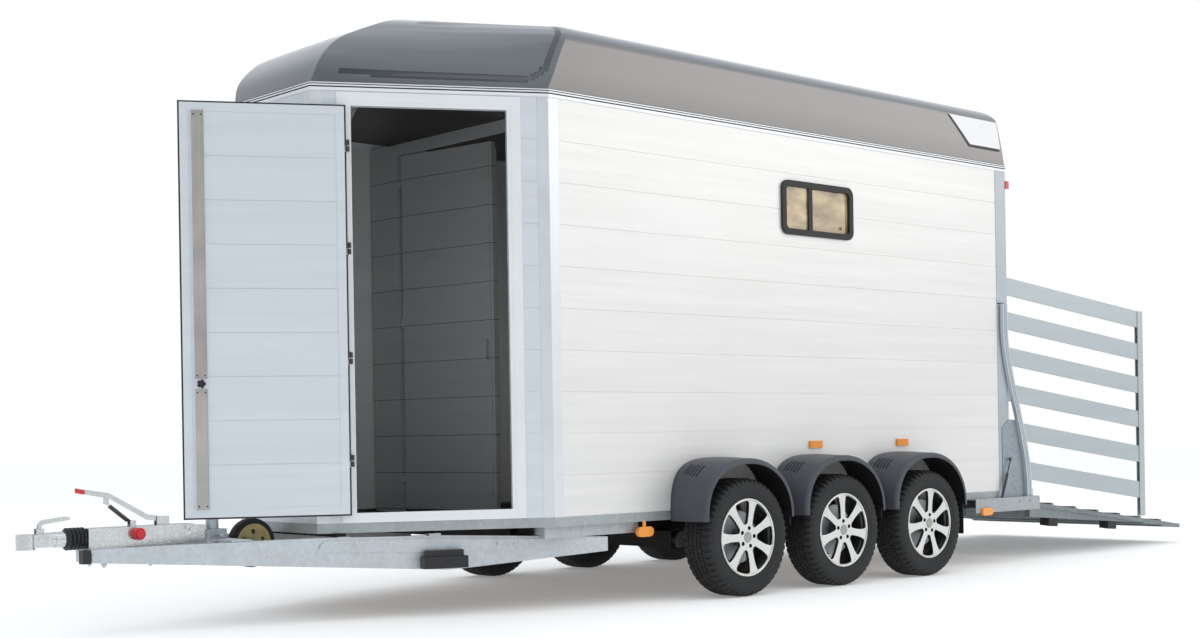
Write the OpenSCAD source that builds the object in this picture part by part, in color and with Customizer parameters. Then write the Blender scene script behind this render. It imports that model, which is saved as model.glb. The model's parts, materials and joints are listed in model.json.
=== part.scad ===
// Three-axle livestock trailer with a planked body, side entrance, rear ramp and yard gates.
// Millimetres. Front is -X, rear is +X, the entrance side is -Y, up is +Z, z = 0 is the ground.

/* [Body] */
// outside width of the body
body_w = 1840; // [1500:10:2200]
// length of the straight side wall
side_len = 3930; // [3000:10:5000]
// length of each slanted nose panel
nose_len = 1160; // [900:10:1400]
// slant of the nose panels to the side walls
nose_ang = 29.3; // [15:0.1:40]
// underside of the sill above the ground
sill_z = 420; // [380:5:500]
// height of the sill strip
sill_h = 48; // [30:1:80]
// underside of the eaves rail
rail_z = 2546; // [2200:1:2800]
// height of the eaves rail
rail_h = 39; // [25:1:60]
// thickness of the planked walls
wall_t = 30; // [20:1:45]
// height of one plank
plank_h = 200; // [100:5:300]

/* [Roof] */
// height of the crease where the top band starts
roof_band_z = 2870; // [2700:5:3000]
// top of the roof
roof_z = 3040; // [2900:5:3300]
// thickness of the roof shell
roof_t = 12; // [6:1:25]

/* [Entrance] */
// clear width of the entrance
door_w = 760; // [600:5:900]
// clear height of the entrance
door_h = 1960; // [1600:5:2020]
// start of the opening along the nose panel
door_s = 190; // [150:1:260]
// thickness of the entrance door
door_t = 34; // [25:1:45]

/* [Window] */
// outside width of the window frame
win_w = 626; // [400:2:900]
// outside height of the window frame
win_h = 308; // [200:2:500]
// front edge of the window behind the side wall corner
win_x = 1722; // [800:2:2400]
// lower edge of the window above the ground
win_z = 1990; // [1400:2:2100]

/* [Running gear] */
// tyre outside diameter
tyre_d = 630; // [560:2:700]
// tyre width
tyre_w = 205; // [165:1:245]
// rim flange diameter
rim_d = 416; // [360:2:440]
// first axle behind the side wall corner
axle_x = 1160; // [900:5:1400]
// distance between the axles
axle_pitch = 797; // [760:1:960]
// outer face of the tyres from the centre line
track_out = 1156; // [1140:1:1300]
// top of the fenders above the ground
fender_z = 742; // [720:2:850]

/* [Ramp] */
// length of the ramp
ramp_len = 2004; // [1600:4:2100]
// width of the ramp
ramp_w = 1700; // [1400:5:1705]
// slope of the ramp at rest
ramp_slope = 7; // [4:0.1:9]
// hinge line behind the side wall corner
hinge_dx = 332; // [320:1:400]
// height of the hinge line
hinge_z = 366; // [340:1:400]

/* [Yard gates] */
// number of planks in a gate
gate_n = 6; // [4:1:6]
// height of a gate plank
gate_h = 113; // [60:1:130]
// mean spacing of the gate planks
gate_pitch = 238; // [200:1:245]
// length of a gate
gate_len = 1350; // [900:5:1500]
// downward slope of the gate planks
gate_slope = 8.3; // [0:0.1:9]
// outward angle of a gate to the side wall
gate_ang = 9.6; // [2:0.1:11]

/* [Coupling] */
// reach of the coupling in front of the side wall corner
reach = 2340; // [2200:5:2600]
// centre height of the coupling tube
tow_z = 442; // [420:1:470]
// ball diameter
ball_d = 50; // [40:1:60]
// jockey wheel diameter
jockey_d = 240; // [180:2:240]

/* [Hidden] */
hw = body_w / 2;
nose_dx = nose_len * cos(nose_ang);
nose_hw = hw - nose_len * sin(nose_ang);
hinge_x = side_len + hinge_dx;
tip_x = hinge_x + ramp_len * cos(ramp_slope) + 14 * sin(ramp_slope);
ox = (reach - tip_x) / 2;
wall_z0 = sill_z + sill_h;
eaves_top = rail_z + rail_h;
post_x = side_len - 115;
wheel_x = [for (i = [0:2]) axle_x + i * axle_pitch];
tyre_r = tyre_d / 2;
tyre_y = track_out - tyre_w / 2;
shelf_z = 470;
door_z0 = 515;
deck_z = sill_z + 50;
arm_a = [-2030, -74];
arm_b = [384, 34 - hw];
arm_len = norm(arm_b - arm_a);
arm_ang = atan2(arm_b[1] - arm_a[1], arm_b[0] - arm_a[0]);
bar_x = [-nose_dx + 60, -520];
jock_x = -1376;
jock_wx = -1164;
jock_wz = 375;
part_p = [200, 600];
part_ang = -82;
hook_z = [860, 1560];
grey = [0.72, 0.74, 0.76];
galv = [0.66, 0.69, 0.71];
alu = [0.85, 0.86, 0.88];
dark = [0.13, 0.13, 0.14];
rubber = [0.05, 0.05, 0.05];

function smooth(t) = let (c = min(1, max(0, t))) c * c * (3 - 2 * c);
function arm_y(x) = -arm_a[1] + (x + 30 - arm_a[0]) * tan(-arm_ang) - 40;
function prof_x(z) = side_len - 65 + 250 * smooth((1550 - z) / 1080);

module at() {
    translate([ox, 0, 0]) children();
}
module both() {
    children();
    mirror([0, 1, 0]) children();
}
module outline(d) {
    offset(delta = -d)
        polygon([[side_len, -hw], [0, -hw], [-nose_dx, -nose_hw],
            [-nose_dx, nose_hw], [0, hw], [side_len, hw]]);
}
module corners(r) {
    for (s = [-1, 1]) {
        translate([0, s * hw]) circle(r, $fn = 8);
        translate([-nose_dx, s * nose_hw]) circle(r, $fn = 8);
    }
}
// ring between two insets of the body outline, cut off behind x1
module ring(a, b, x1) {
    intersection() {
        difference() {
            outline(a);
            outline(b);
        }
        translate([-nose_dx - 100, -hw - 100]) square([nose_dx + 100 + x1, 2 * hw + 200]);
    }
}
module wall_ring(a) {
    difference() {
        ring(a, 1 + wall_t, post_x - 0.2);
        corners(62);
    }
}
// planks with a fine seam between them; children(0) is the full section, children(1) the seam section
module planked(z0, z1) {
    n = max(1, round((z1 - z0) / plank_h));
    ph = (z1 - z0) / n;
    for (k = [0:n - 1])
        translate([0, 0, z0 + k * ph]) linear_extrude(k == n - 1 ? ph : ph - 2.5) children(0);
    translate([0, 0, z0]) linear_extrude(z1 - z0 - 1) children(1);
}
// frame of the left nose panel: x along the panel from its front corner, y inward
module nose_frame() {
    translate([-nose_dx, -nose_hw, 0]) rotate([0, 0, -nose_ang]) children();
}
module ycyl(r, y0, y1) {
    translate([0, y0, 0]) rotate([-90, 0, 0]) cylinder(r = r, h = y1 - y0, $fn = 48);
}
module xcyl(r, x0, x1) {
    translate([x0, 0, 0]) rotate([0, 90, 0]) cylinder(r = r, h = x1 - x0, $fn = 48);
}
// extrude a drawing in the x-z plane from y0 to y1
module yext(y0, y1) {
    translate([0, y1, 0]) rotate([90, 0, 0]) linear_extrude(y1 - y0) children();
}

// ---- chassis and drawbar ----
module arm() {
    translate([arm_a[0], arm_a[1], 0]) rotate([0, 0, arm_ang]) {
        difference() {
            yext(0, 52) polygon([[0, 332], [0, 393], [arm_len * 0.42, 403], [arm_len * 0.66, 392],
                [arm_len, 352], [arm_len, 280], [arm_len * 0.69, 226], [arm_len * 0.66, 224]]);
            yext(5, 60) polygon([[30, 338], [30, 387], [arm_len * 0.42, 397], [arm_len * 0.66, 386],
                [arm_len - 12, 346], [arm_len - 12, 288], [arm_len * 0.69, 233],
                [arm_len * 0.66, 231]]);
        }
        yext(-6, 0.01) polygon([[arm_len * 0.405, 336], [arm_len * 0.42, 388], [arm_len * 0.66, 378],
            [arm_len * 0.86, 356], [arm_len * 0.86, 300], [arm_len * 0.66, 312]]);
        for (s = [0.415, 0.48, 0.545, 0.765, 0.80])
            translate([arm_len * s, 0, 366 - 110 * max(0, s - 0.5)]) ycyl(9, -12, -5.9);
        for (x = bar_x) translate([(x - arm_a[0]) / cos(arm_ang), 0, 380]) cube([60, 50, 24]);
        for (s = [60, 265]) translate([s, 20, 0]) {
            translate([0, 0, 308]) cylinder(r = 6, h = 26, $fn = 32);
            translate([0, 0, 316]) cylinder(r = 13, h = 10, $fn = 6);
        }
    }
}
module drawbar_beams() {
    color(galv) at() both() arm();
}
module chassis_frame() {
    color(galv) at() {
        both() {
            difference() {
                translate([-60, -hw + 280, 346]) cube([side_len + 260, 60, 74]);
                translate([-40, -hw + 290, 352]) cube([side_len + 220, 60, 62]);
            }
            translate([-30, -hw + 44, 362]) cube([640, 40, 57.8]);
            translate([-30, -hw + 84.2, 378]) cube([60, 195.6, 41]);
            translate([540, -hw + 84.2, 378]) cube([60, 195.6, 41]);
        }
        for (x = [-60, 1000, 1800, 2600, 3300, side_len - 40])
            translate([x, -hw + 290.2, 352.2]) cube([70, body_w - 580.4, 61.6]);
        for (x = bar_x)
            translate([x, -arm_y(x) - 8, 404.2]) cube([60, 2 * arm_y(x) + 16, 15.6]);
        both() translate([bar_x[0] + 60.2, -150, 404.2]) cube([bar_x[1] - bar_x[0] - 60.4, 60, 15.6]);
        both() translate([bar_x[1] + 60.2, -150, 404.2]) cube([-bar_x[1] - 120.4, 60, 15.6]);
        // rear cross member with the fixed ramp knuckles
        difference() {
            translate([side_len + 200.2, -hw + 48, 336]) cube([70, body_w - 96, 76]);
            translate([side_len + 206, -hw - 1, 342]) cube([58, body_w + 2, 64]);
        }
        for (y = [-hw + 260, -220, 220, hw - 260]) translate([0, y, 0]) {
            difference() {
                translate([side_len + 270, -40, hinge_z - 14])
                    cube([hinge_dx - 270, 80, 28]);
                translate([hinge_x, -41, hinge_z]) ycyl(14.4, 0, 82);
            }
            translate([hinge_x, 0, hinge_z]) difference() {
                ycyl(14.5, -40, 40);
                ycyl(8, -41, 41);
            }
        }
        translate([hinge_x, 0, hinge_z]) ycyl(8, -hw + 48, hw - 48);
    }
}
module floor_deck() {
    color([0.45, 0.33, 0.22]) at() translate([0, 0, sill_z + 0.2]) linear_extrude(22)
        intersection() {
            outline(41);
            translate([-2000, -2000]) square([2000 + side_len - 1, 4000]);
        }
    color([0.45, 0.33, 0.22]) at() translate([side_len - 42, -hw + 42, sill_z + 0.2])
        cube([302, body_w - 84, 22]);
}
module floor_mat() {
    color(rubber) at() translate([0, 0, sill_z + 22.4]) linear_extrude(8)
        union() {
            intersection() {
                outline(46);
                translate([-2000, -2000]) square([2000 + side_len - 140, 4000]);
            }
            translate([side_len - 141, -hw + 105]) square([400, body_w - 210]);
        }
}
module sill_rails() {
    color(grey) at() {
        difference() {
            translate([0, 0, sill_z]) linear_extrude(sill_h) ring(0, 40, side_len);
            translate([0, 0, sill_z + 4]) linear_extrude(sill_h - 8) ring(6, 50, side_len + 10);
            translate([side_len - 80, -hw + 40, sill_z - 1]) cube([100, body_w - 80, sill_h + 2]);
            for (x = [-0.2, -nose_dx + 56])
                translate([x, -hw - 20, sill_z - 1]) cube([0.4, body_w + 40, sill_h + 2]);
        }
        both() {
            difference() {
                translate([shelf_x, -hw - 46, sill_z - 2]) cube([side_len - shelf_x + 266, 45.8, 6]);
                translate([side_len - 126, -hw - 24, sill_z - 10]) cylinder(r = 16, h = 30, $fn = 48);
            }
            translate([shelf_x, -hw - 50, sill_z - 84]) cube([side_len - shelf_x + 266, 4, 88]);
            translate([side_len + 266.2, -hw - 50, sill_z - 84]) cube([4, 94, 78]);
            translate([side_len + 0.2, -hw, sill_z - 6]) cube([266, 40, 54]);
        }
        // rivets along the sill
        for (x = [150:300:side_len - 530]) if (x < axle_x - fen_a - 20 || x > wheel_x[2] + fen_a + 10) both()
            translate([x, -hw, sill_z + 24]) ycyl(5, -2, 0.5);
        for (s = [120, 480, 840, 1060]) both() nose_frame()
            translate([s, 0, sill_z + 24]) ycyl(5, -2, 0.5);
        for (x = [side_len + 40, side_len + 160]) both()
            translate([x, -hw - 50, sill_z - 26]) ycyl(8, -4, 0.5);
    }
}
// ---- walls ----
module left_wall() {
    color(alu) at() difference() {
        intersection() {
            planked(wall_z0 + 0.1, rail_z - 0.1) {
                wall_ring(1);
                wall_ring(3.5);
            }
            translate([1, -hw - 50, 0]) cube([side_len, 200, 4000]);
        }
        translate([win_x + 16, -hw - 20, win_z + 16]) cube([win_w - 32, 80, win_h - 32]);
    }
}
module right_wall() {
    color(alu) at() intersection() {
        planked(wall_z0 + 0.1, rail_z - 0.1) {
            wall_ring(1);
            wall_ring(3.5);
        }
        translate([1, hw - 150, 0]) cube([side_len, 200, 4000]);
    }
}
module nose_walls() {
    color(alu) at() difference() {
        intersection() {
            planked(wall_z0 + 0.1, rail_z - 0.1) {
                wall_ring(1);
                wall_ring(3.5);
            }
            translate([-nose_dx - 100, -hw - 50, 0]) cube([nose_dx + 100, body_w + 100, 4000]);
        }
        nose_frame() translate([door_s - 62, -30, 460]) cube([door_w + 124, 100, rail_z - 470]);
    }
}
module bulkhead() {
    color(alu) at() {
        w = max(wall_t + 1.2, 40.4);
        translate([185, 625, sill_z + 31]) cube([30, hw - w - 625, rail_z - sill_z - 33]);
        translate([185, -560, 2482]) cube([30, 1184.9, rail_z - 2484]);
        translate([230, -hw + w, sill_z + 31]) cube([30, 411.2 - w, rail_z - sill_z - 33]);
        translate([185, -hw + wall_t + 1.2, 2482]) cube([44.8, hw - wall_t - 561.4, rail_z - 2484]);
        // hinge knuckles and pins for the partition gate
        for (z = [620, 1500, 2300]) translate([part_p[0], part_p[1], z]) {
            cylinder(r = 6, h = 90, $fn = 48);
            difference() {
                union() {
                    cylinder(r = 11, h = 30, $fn = 48);
                    translate([-11, 0, 0]) cube([22, 25.2, 30]);
                }
                translate([0, 0, -1]) cylinder(r = 5.9, h = 32, $fn = 48);
            }
        }
    }
}
module corner_posts() {
    color(alu) at() translate([0, 0, wall_z0 + 0.1]) linear_extrude(rail_z - wall_z0 - 0.2)
        intersection() {
            ring(0, wall_t + 6, side_len);
            corners(61.8);
        }
}
module rear_frame() {
    color(grey) at() {
        both() {
            difference() {
                union() {
                    translate([post_x, -hw - 2, wall_z0 + 0.1])
                        cube([113, 72, 1680 - wall_z0 - 0.2]);
                    translate([post_x, -hw - 2, 1688]) cube([113, 72, rail_z - 1688.2]);
                }
                translate([post_x + 6, -hw + 4, 400]) cube([101, 60, rail_z]);
            }
            // sockets that carry the gate hooks
            for (z = hook_z) difference() {
                translate([side_len - 2.1, -hw + 38, z]) cube([35, 32, 24]);
                translate([side_len + 17, -hw + 54, z - 1]) cylinder(r = 8.06, h = 26, $fn = 48);
            }
            for (z = [640, 1020, 1400]) translate([post_x + 22, -hw - 2, z]) ycyl(6, -3, 0.5);
        }
        difference() {
            translate([post_x + 20, -hw + 70.2, 2420]) cube([93, body_w - 140.4, 126 - 0.2]);
            translate([post_x + 26, -hw + 60, 2426]) cube([81, body_w - 120, 114]);
        }
    }
}
module eaves_rail() {
    color(alu) at() {
        difference() {
            translate([0, 0, rail_z]) linear_extrude(rail_h) outline(-6);
            translate([0, 0, rail_z - 1]) linear_extrude(rail_h + 2) outline(30);
            translate([0, 0, rail_z + 15]) linear_extrude(7) ring(-8, -2, side_len + 20);
            translate([0, 0, rail_z + 29]) linear_extrude(5) ring(-8, -3, side_len + 20);
        }
    }
}
// ---- roof ----
// level: height, inset of the sides, x of the side corner, x of the nose corner, x of the rear end
roof_lv = [[eaves_top + 0.2, 2, 0, -nose_dx + 2, side_len - 2],
    [2679, 8, 50, -980, side_len - 14], [2749, 15, 85, -930, side_len - 24],
    [2815, 23, 120, -852, side_len - 33], [roof_band_z, 32, 152, -741, side_len - 42],
    [roof_band_z + 30, 50, 170, -670, side_len - 54], [roof_band_z + 60, 90, 195, -600, side_len - 72],
    [roof_band_z + 88, 160, 225, -525, side_len - 96], [roof_band_z + 114, 262, 275, -430, side_len - 130],
    [roof_band_z + 138, 395, 340, -310, side_len - 180],
    [roof_band_z + 157, 545, 440, -150, side_len - 250], [roof_z, 760, 640, 80, side_len - 340]];
module roof_body(t) {
    hull() for (v = roof_lv) {
        d = min(v[1] + t, hw - 60);
        w = nose_hw + (v[0] > eaves_top + 10 ? 26 : 0);
        n = min(w - min(nose_hw * 0.4, v[1] * 0.35), hw - v[1] - 20) - t * 0.6;
        translate([0, 0, v[0] - (v[0] > 2700 ? t : t * 0.1) - 0.5]) linear_extrude(0.5)
            polygon([[v[4] - t, -hw + d], [v[2] + t, -hw + d], [v[3] + t, -n],
                [v[3] + t, n], [v[2] + t, hw - d], [v[4] - t, hw - d]]);
    }
}
module roof_shell() {
    color(dark) at() difference() {
        translate([0, 0, 0.5]) roof_body(0);
        roof_body(roof_t);
    }
}
// ---- window ----
module win_shape(d, r) {
    translate([win_x + d, win_z + d]) offset(r = r, $fn = 32) offset(delta = -r)
        square([win_w - 2 * d, win_h - 2 * d]);
}
module window_frame() {
    color(rubber) at() {
        difference() {
            union() {
                yext(-hw - 14, -hw + 0.8) win_shape(0, 50);
                yext(-hw + 0.7, -hw + 34) win_shape(16.4, 0.01);
            }
            yext(-hw - 16, -hw + 40) win_shape(34, 26);
        }
        translate([win_x + 228, -hw - 10, win_z + 33]) cube([34, 10, win_h - 66]);
    }
}
module window_fixed_pane() {
    color([0.55, 0.42, 0.22]) at() translate([win_x + 34, -hw + 0.2, win_z + 34.1])
        translate([0.1, 0, 0]) intersection() {
            cube([206, 4, win_h - 68.2]);
            translate([-win_x - 34.1, 0, -win_z - 34.1]) yext(-1, 5) win_shape(34.1, 26);
        }
}
module window_sliding_pane() {
    color([0.55, 0.42, 0.22]) at() {
        translate([0, -hw + 4.6, 0]) intersection() {
            translate([win_x + 242, 0, win_z + 34.2]) cube([win_w - 277, 4, win_h - 68.4]);
            yext(-1, 5) win_shape(34.2, 26);
        }
        translate([win_x + 524, -hw - 8, win_z + 60]) cube([18, 12.7, 14]);
    }
}
// ---- entrance ----
hin_s = door_s - 18;
hin_y = -24;
leaf_z0 = door_z0 - 10;
leaf_h = door_h + 6;
leaf_w = door_w + 31;
hin_z = [leaf_z0 + 232, leaf_z0 + 724, leaf_z0 + 1250, leaf_z0 + 1742];
module door_frame() {
    color(alu) at() nose_frame() {
        difference() {
            union() {
                translate([door_s - 60, -5, wall_z0 + 0.4]) cube([door_w + 120, 41, rail_z - wall_z0 - 12]);
                translate([door_s - 68, -5, wall_z0 + 0.4]) cube([door_w + 136, 5.7, rail_z - wall_z0 - 6]);
            }
            translate([door_s, -10, door_z0]) cube([door_w, 60, door_h]);
            translate([door_s - 20, -6, door_z0 - 20]) cube([door_w + 40, 3, door_h + 40]);
        }
        for (z = hin_z) translate([hin_s, hin_y, z]) {
            cylinder(r = 4, h = 62, $fn = 32);
            difference() {
                union() {
                    cylinder(r = 7, h = 30, $fn = 32);
                    translate([-4, 0, 0]) cube([8, -hin_y - 1.9, 30]);
                }
                translate([0, 0, -1]) cylinder(r = 3.9, h = 32, $fn = 32);
            }
        }
    }
}
module leaf_place() {
    translate([hin_s, hin_y, 0]) children();
}
module door_leaf() {
    color(alu) at() nose_frame() leaf_place() {
        difference() {
            union() {
                translate([-leaf_w + 8, -17, leaf_z0 + 8]) cube([40, door_t, leaf_h - 16]);
                translate([-57, -17, leaf_z0 + 8]) cube([40, door_t, leaf_h - 16]);
                translate([-leaf_w + 8, -17, leaf_z0 + 8]) cube([leaf_w - 25, door_t, 40]);
                translate([-leaf_w + 8, -17, leaf_z0 + leaf_h - 48]) cube([leaf_w - 25, door_t, 40]);
                planked(leaf_z0 + 48, leaf_z0 + leaf_h - 48) {
                    translate([-leaf_w + 47, -14]) square([leaf_w - 103, door_t - 6]);
                    translate([-leaf_w + 47, -11.5]) square([leaf_w - 103, door_t - 11]);
                }
                translate([-leaf_w + 62, -26, leaf_z0 + 44]) cube([58, 12.1, leaf_h - 88]);
            }
            translate([-leaf_w + 91, -40, 1141]) rotate([-90, 0, 0]) cylinder(r = 7.06, h = 40, $fn = 48);
        }
        for (z = hin_z) translate([0, 0, z + 30.4]) difference() {
            union() {
                cylinder(r = 7, h = 30, $fn = 32);
                translate([-30, -4, 0]) cube([30, 8, 30]);
            }
            translate([0, 0, -1]) cylinder(r = 4.06, h = 32, $fn = 32);
        }
    }
}
module door_seal() {
    color(rubber) at() nose_frame() leaf_place() difference() {
        translate([-leaf_w, -12, leaf_z0]) cube([leaf_w - 9, 24, leaf_h]);
        translate([-leaf_w + 7.8, -13, leaf_z0 + 7.8]) cube([leaf_w - 24.6, 26, leaf_h - 15.6]);
        for (z = hin_z) translate([-20, -5, z + 29.4]) cube([20, 10, 32]);
        for (z = hin_z) translate([-20, -13, z - 2]) cube([20, 26, 33]);
    }
}
module door_latch() {
    color(dark) at() nose_frame() leaf_place() translate([-leaf_w + 91, 0, 1141]) {
        ycyl(7, -30, -2);
        ycyl(14, -40, -26.2);
        for (a = [0:72:288]) rotate([0, a, 0]) translate([13, 0, 0]) ycyl(8, -39, -28);
    }
}
module partition_gate() {
    color(alu) at() translate([part_p[0], part_p[1], 0]) rotate([0, 0, part_ang]) {
        planked(sill_z + 52, 2472) {
            translate([16, -15]) square([700, 30]);
            translate([16, -12.5]) square([700, 25]);
        }
        for (z = [650.4, 1530.4, 2330.4]) translate([0, 0, z]) difference() {
            union() {
                cylinder(r = 11, h = 40, $fn = 48);
                translate([0, -6, 0]) cube([20, 12, 40]);
            }
            translate([0, 0, -1]) cylinder(r = 6.06, h = 42, $fn = 48);
        }
        translate([655, -27, 560]) cube([50, 12.1, 1860]);
        translate([700, -20, 540]) cube([22, 40, 1900]);
        translate([672, -50, 1290]) cube([16, 12, 110]);
        translate([672, -40, 1290]) cube([16, 14, 14]);
        translate([672, -40, 1386]) cube([16, 14, 14]);
    }
}
// ---- rear end ----
module side_profiles() {
    color(alu) at() both() difference() {
        yext(-hw - 30, -hw - 6.2) polygon(concat(
            [for (i = [0:28]) let (z = 424.3 + i * 44.84) [prof_x(z) - 27, z]],
            [for (i = [28:-1:0]) let (z = 424.3 + i * 44.84) [prof_x(z) + 27, z]]));
        for (o = [-9, 9]) yext(-hw - 31, -hw - 26) polygon(concat(
            [for (i = [0:28]) let (z = 424 + i * 44.9) [prof_x(z) + o - 4, z]],
            [for (i = [28:-1:0]) let (z = 424 + i * 44.9) [prof_x(z) + o + 4, z]]));
    }
}
module cheek_plates() {
    color(galv) at() both() {
        yext(-hw - 6, -hw - 2.2) polygon(concat([[side_len - 84, 424.3], [side_len - 84, 880],
            [side_len - 10, 930]],
            [for (i = [10:-1:0]) let (z = 424.3 + i * 50) [prof_x(z) + 8, z]]));
        translate([side_len - 22, 0, 671]) ycyl(6, -hw - 32, -hw - 5.9);
        for (z = [480, 560, 820]) translate([side_len + 40, 0, z]) ycyl(6, -hw - 9, -hw - 5.9);
    }
}
module ramp_struts() {
    color(dark) at() both() {
        translate([side_len - 22, -hw - 24, 671]) {
            rotate([0, 180 + 22.6, 0]) {
                translate([0, 0, 6]) cylinder(r = 4, h = 110, $fn = 32);
                translate([0, 0, 100]) cylinder(r = 9, h = 220, $fn = 32);
                translate([0, 0, 312]) cylinder(r = 5, h = 34, $fn = 32);
            }
            difference() {
                ycyl(11, -6, 6);
                ycyl(6.3, -7, 7);
            }
        }
        translate([side_len - 22 - 352 * sin(22.6), -hw - 24, 671 - 352 * cos(22.6)]) {
            ycyl(10, -6, 6);
            ycyl(5, -21.8, 0);
        }
    }
}
// ---- ramp ----
module ramp_at() {
    at() translate([hinge_x, 0, hinge_z]) rotate([0, ramp_slope, 0]) children();
}
module ramp_panel() {
    rw = ramp_w / 2;
    color(grey) ramp_at() {
        translate([20, -rw, -14]) cube([ramp_len - 20, ramp_w, 28]);
        for (y = [-rw + 12, -330, 290, rw - 52]) translate([0, y, 0])
            yext(0, 40) polygon([[26, -13], [26, -88], [1300, -26], [1300, -13]]);
        for (x = [1500, 1760]) translate([x, -rw + 20, -24]) cube([40, ramp_w - 40, 11]);
        for (i = [0:5]) translate([300 + i * 290, -rw + 30, 13.9]) cube([34, ramp_w - 60, 16]);
        for (y = [20 - hw / 2, 0, hw / 2 - 20]) translate([0, y, 0]) difference() {
            union() {
                ycyl(14.5, -60, 60);
                translate([0, -60, -10]) cube([24, 120, 20]);
            }
            ycyl(8.06, -61, 61);
        }
    }
}
module ramp_feet() {
    color(rubber) ramp_at() both() for (x = [262, 1018]) {
        z0 = -88 + 62 * (x - 26) / 1274;
        translate([x, -ramp_w / 2 + 12, 0]) {
            yext(0, 70) polygon([[0, z0 - 50], [112, z0 - 50],
                [112, z0 + 62 * 112 / 1274 - 0.3], [0, z0 - 0.3]]);
        }
    }
}
// ---- yard gates ----
function gate_z(k) = 1869 - k * (gate_pitch - 2.9 * (gate_n - 1 - k));
module gate() {
    drop = tan(gate_slope);
    translate([side_len + 17, -hw + 54, 0]) rotate([0, 0, -gate_ang]) {
        for (k = [0:gate_n - 1]) translate([0, 0, gate_z(k)])
            yext(-9.7, 9.7) polygon([[20, -20 * drop], [gate_len, -gate_len * drop],
                [gate_len, -gate_len * drop - gate_h], [20, -gate_h - 20 * drop]]);
        translate([22, 9.9, gate_z(gate_n - 1) - gate_h - 2])
            cube([30, 6, gate_z(0) - gate_z(gate_n - 1) + gate_h - 10]);
        difference() {
            translate([gate_len - 26, -14, 245])
                cube([52, 28, gate_z(0) - gate_len * drop - 242]);
            translate([gate_len - 32, -9.9, 230]) cube([52, 19.8, 1700]);
            for (k = [0:gate_n - 1])
                translate([gate_len, 0, gate_z(k) - gate_len * drop - gate_h / 2]) ycyl(5, -20, -12.5);
        }
        for (z = hook_z) translate([0, 0, z]) {
            translate([0, 0, -8]) cylinder(r = 8, h = 40, $fn = 48);
            translate([-8, -8, 24.3]) cube([27.8, 16, 8]);
        }
    }
}
module gate_left() {
    color(alu) at() gate();
}
module gate_right() {
    color(alu) at() mirror([0, 1, 0]) gate();
}
// ---- running gear ----
fen_a = 354;
shelf_x = max(side_len - 450, wheel_x[2] + fen_a + 20);
function fen_pt(a, b, n, u) = [a * sign(cos(u)) * pow(abs(cos(u)), 2 / n), b * pow(sin(u), 2 / n)];
module arch(d, z0) {
    h = fender_z - 420 - d;
    polygon(concat([[fen_a - d, z0]],
        [for (i = [0:13]) let (p = fen_pt(fen_a - d, h, 2.3, i * 90 / 14)) [p[0], p[1] + 420]],
        [for (i = [14:28]) let (p = fen_pt(fen_a - d, h, 2.9, i * 90 / 14)) [p[0], p[1] + 420]],
        [[d - fen_a, z0]]));
}
module fenders() {
    for (i = [0:2]) translate([wheel_x[i], 0, 0]) {
        difference() {
            yext(-track_out - 12, -hw - 0.3) arch(0, 412);
            yext(-track_out - 13, -hw + 1) arch(6, 400);
            for (k = [0:4]) translate([-fen_a * 0.79, -hw - 52 - k * 20, fender_z - 90]) cube([62, 9, 160]);
        }
        difference() {
            yext(-track_out - 18, -track_out - 11.9) arch(-4, 412);
            yext(-track_out - 20, -track_out - 11) arch(26, 400);
        }
        translate([fen_a - 8, -track_out + 14, i == 2 ? 234 : 360])
            cube([5, track_out - hw - 60, i == 2 ? 190 : 64]);
    }
}
module fenders_left() {
    color(dark) at() fenders();
}
module fenders_right() {
    color(dark) at() mirror([0, 1, 0]) fenders();
}
module amber_lamps() {
    color([1, 0.5, 0.05]) at() both() {
        for (x = [1932, 2738]) translate([x, -hw - 12, 776]) cube([106, 12.8, 42]);
        translate([616, 0, 366]) {
            yext(-hw - 10, -hw + 12) hull() for (s = [-30, 30]) translate([s, 0]) circle(26, $fn = 32);
            translate([-10, -hw + 2, 20]) cube([20, 6, 33.8]);
        }
        translate([shelf_x + 108, 0, 344]) yext(-hw - 66, -hw - 50.2)
            hull() for (s = [-32, 32]) translate([s, 0]) circle(24, $fn = 32);
    }
}
module rear_lamps() {
    color([0.75, 0.05, 0.05]) at() both() {
        translate([side_len - 1.8, -hw - 8, 2436]) cube([34, 30, 50]);
        translate([side_len + 270.6, -hw + 66, 342]) cube([26, 110, 64]);
    }
}
module axle_tubes() {
    color(galv) at() for (x = wheel_x) translate([x, 0, 0]) {
        translate([-195, -760, 255.6]) cube([90, 1520, 90]);
        both() {
            yext(-800, -759.9) hull() {
                translate([-150, 300]) circle(44, $fn = 32);
                translate([0, tyre_r]) circle(44, $fn = 32);
            }
            translate([0, 0, tyre_r]) {
                ycyl(40, -tyre_y + 92, -799);
                ycyl(140, -tyre_y - 20, -tyre_y + 93);
                ycyl(25, -tyre_y - 60, -tyre_y);
            }
        }
    }
}
module wheel_place(i, s) {
    at() mirror([0, s, 0]) translate([wheel_x[i], -tyre_y, tyre_r]) rotate([90, 0, 0]) children();
}
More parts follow.
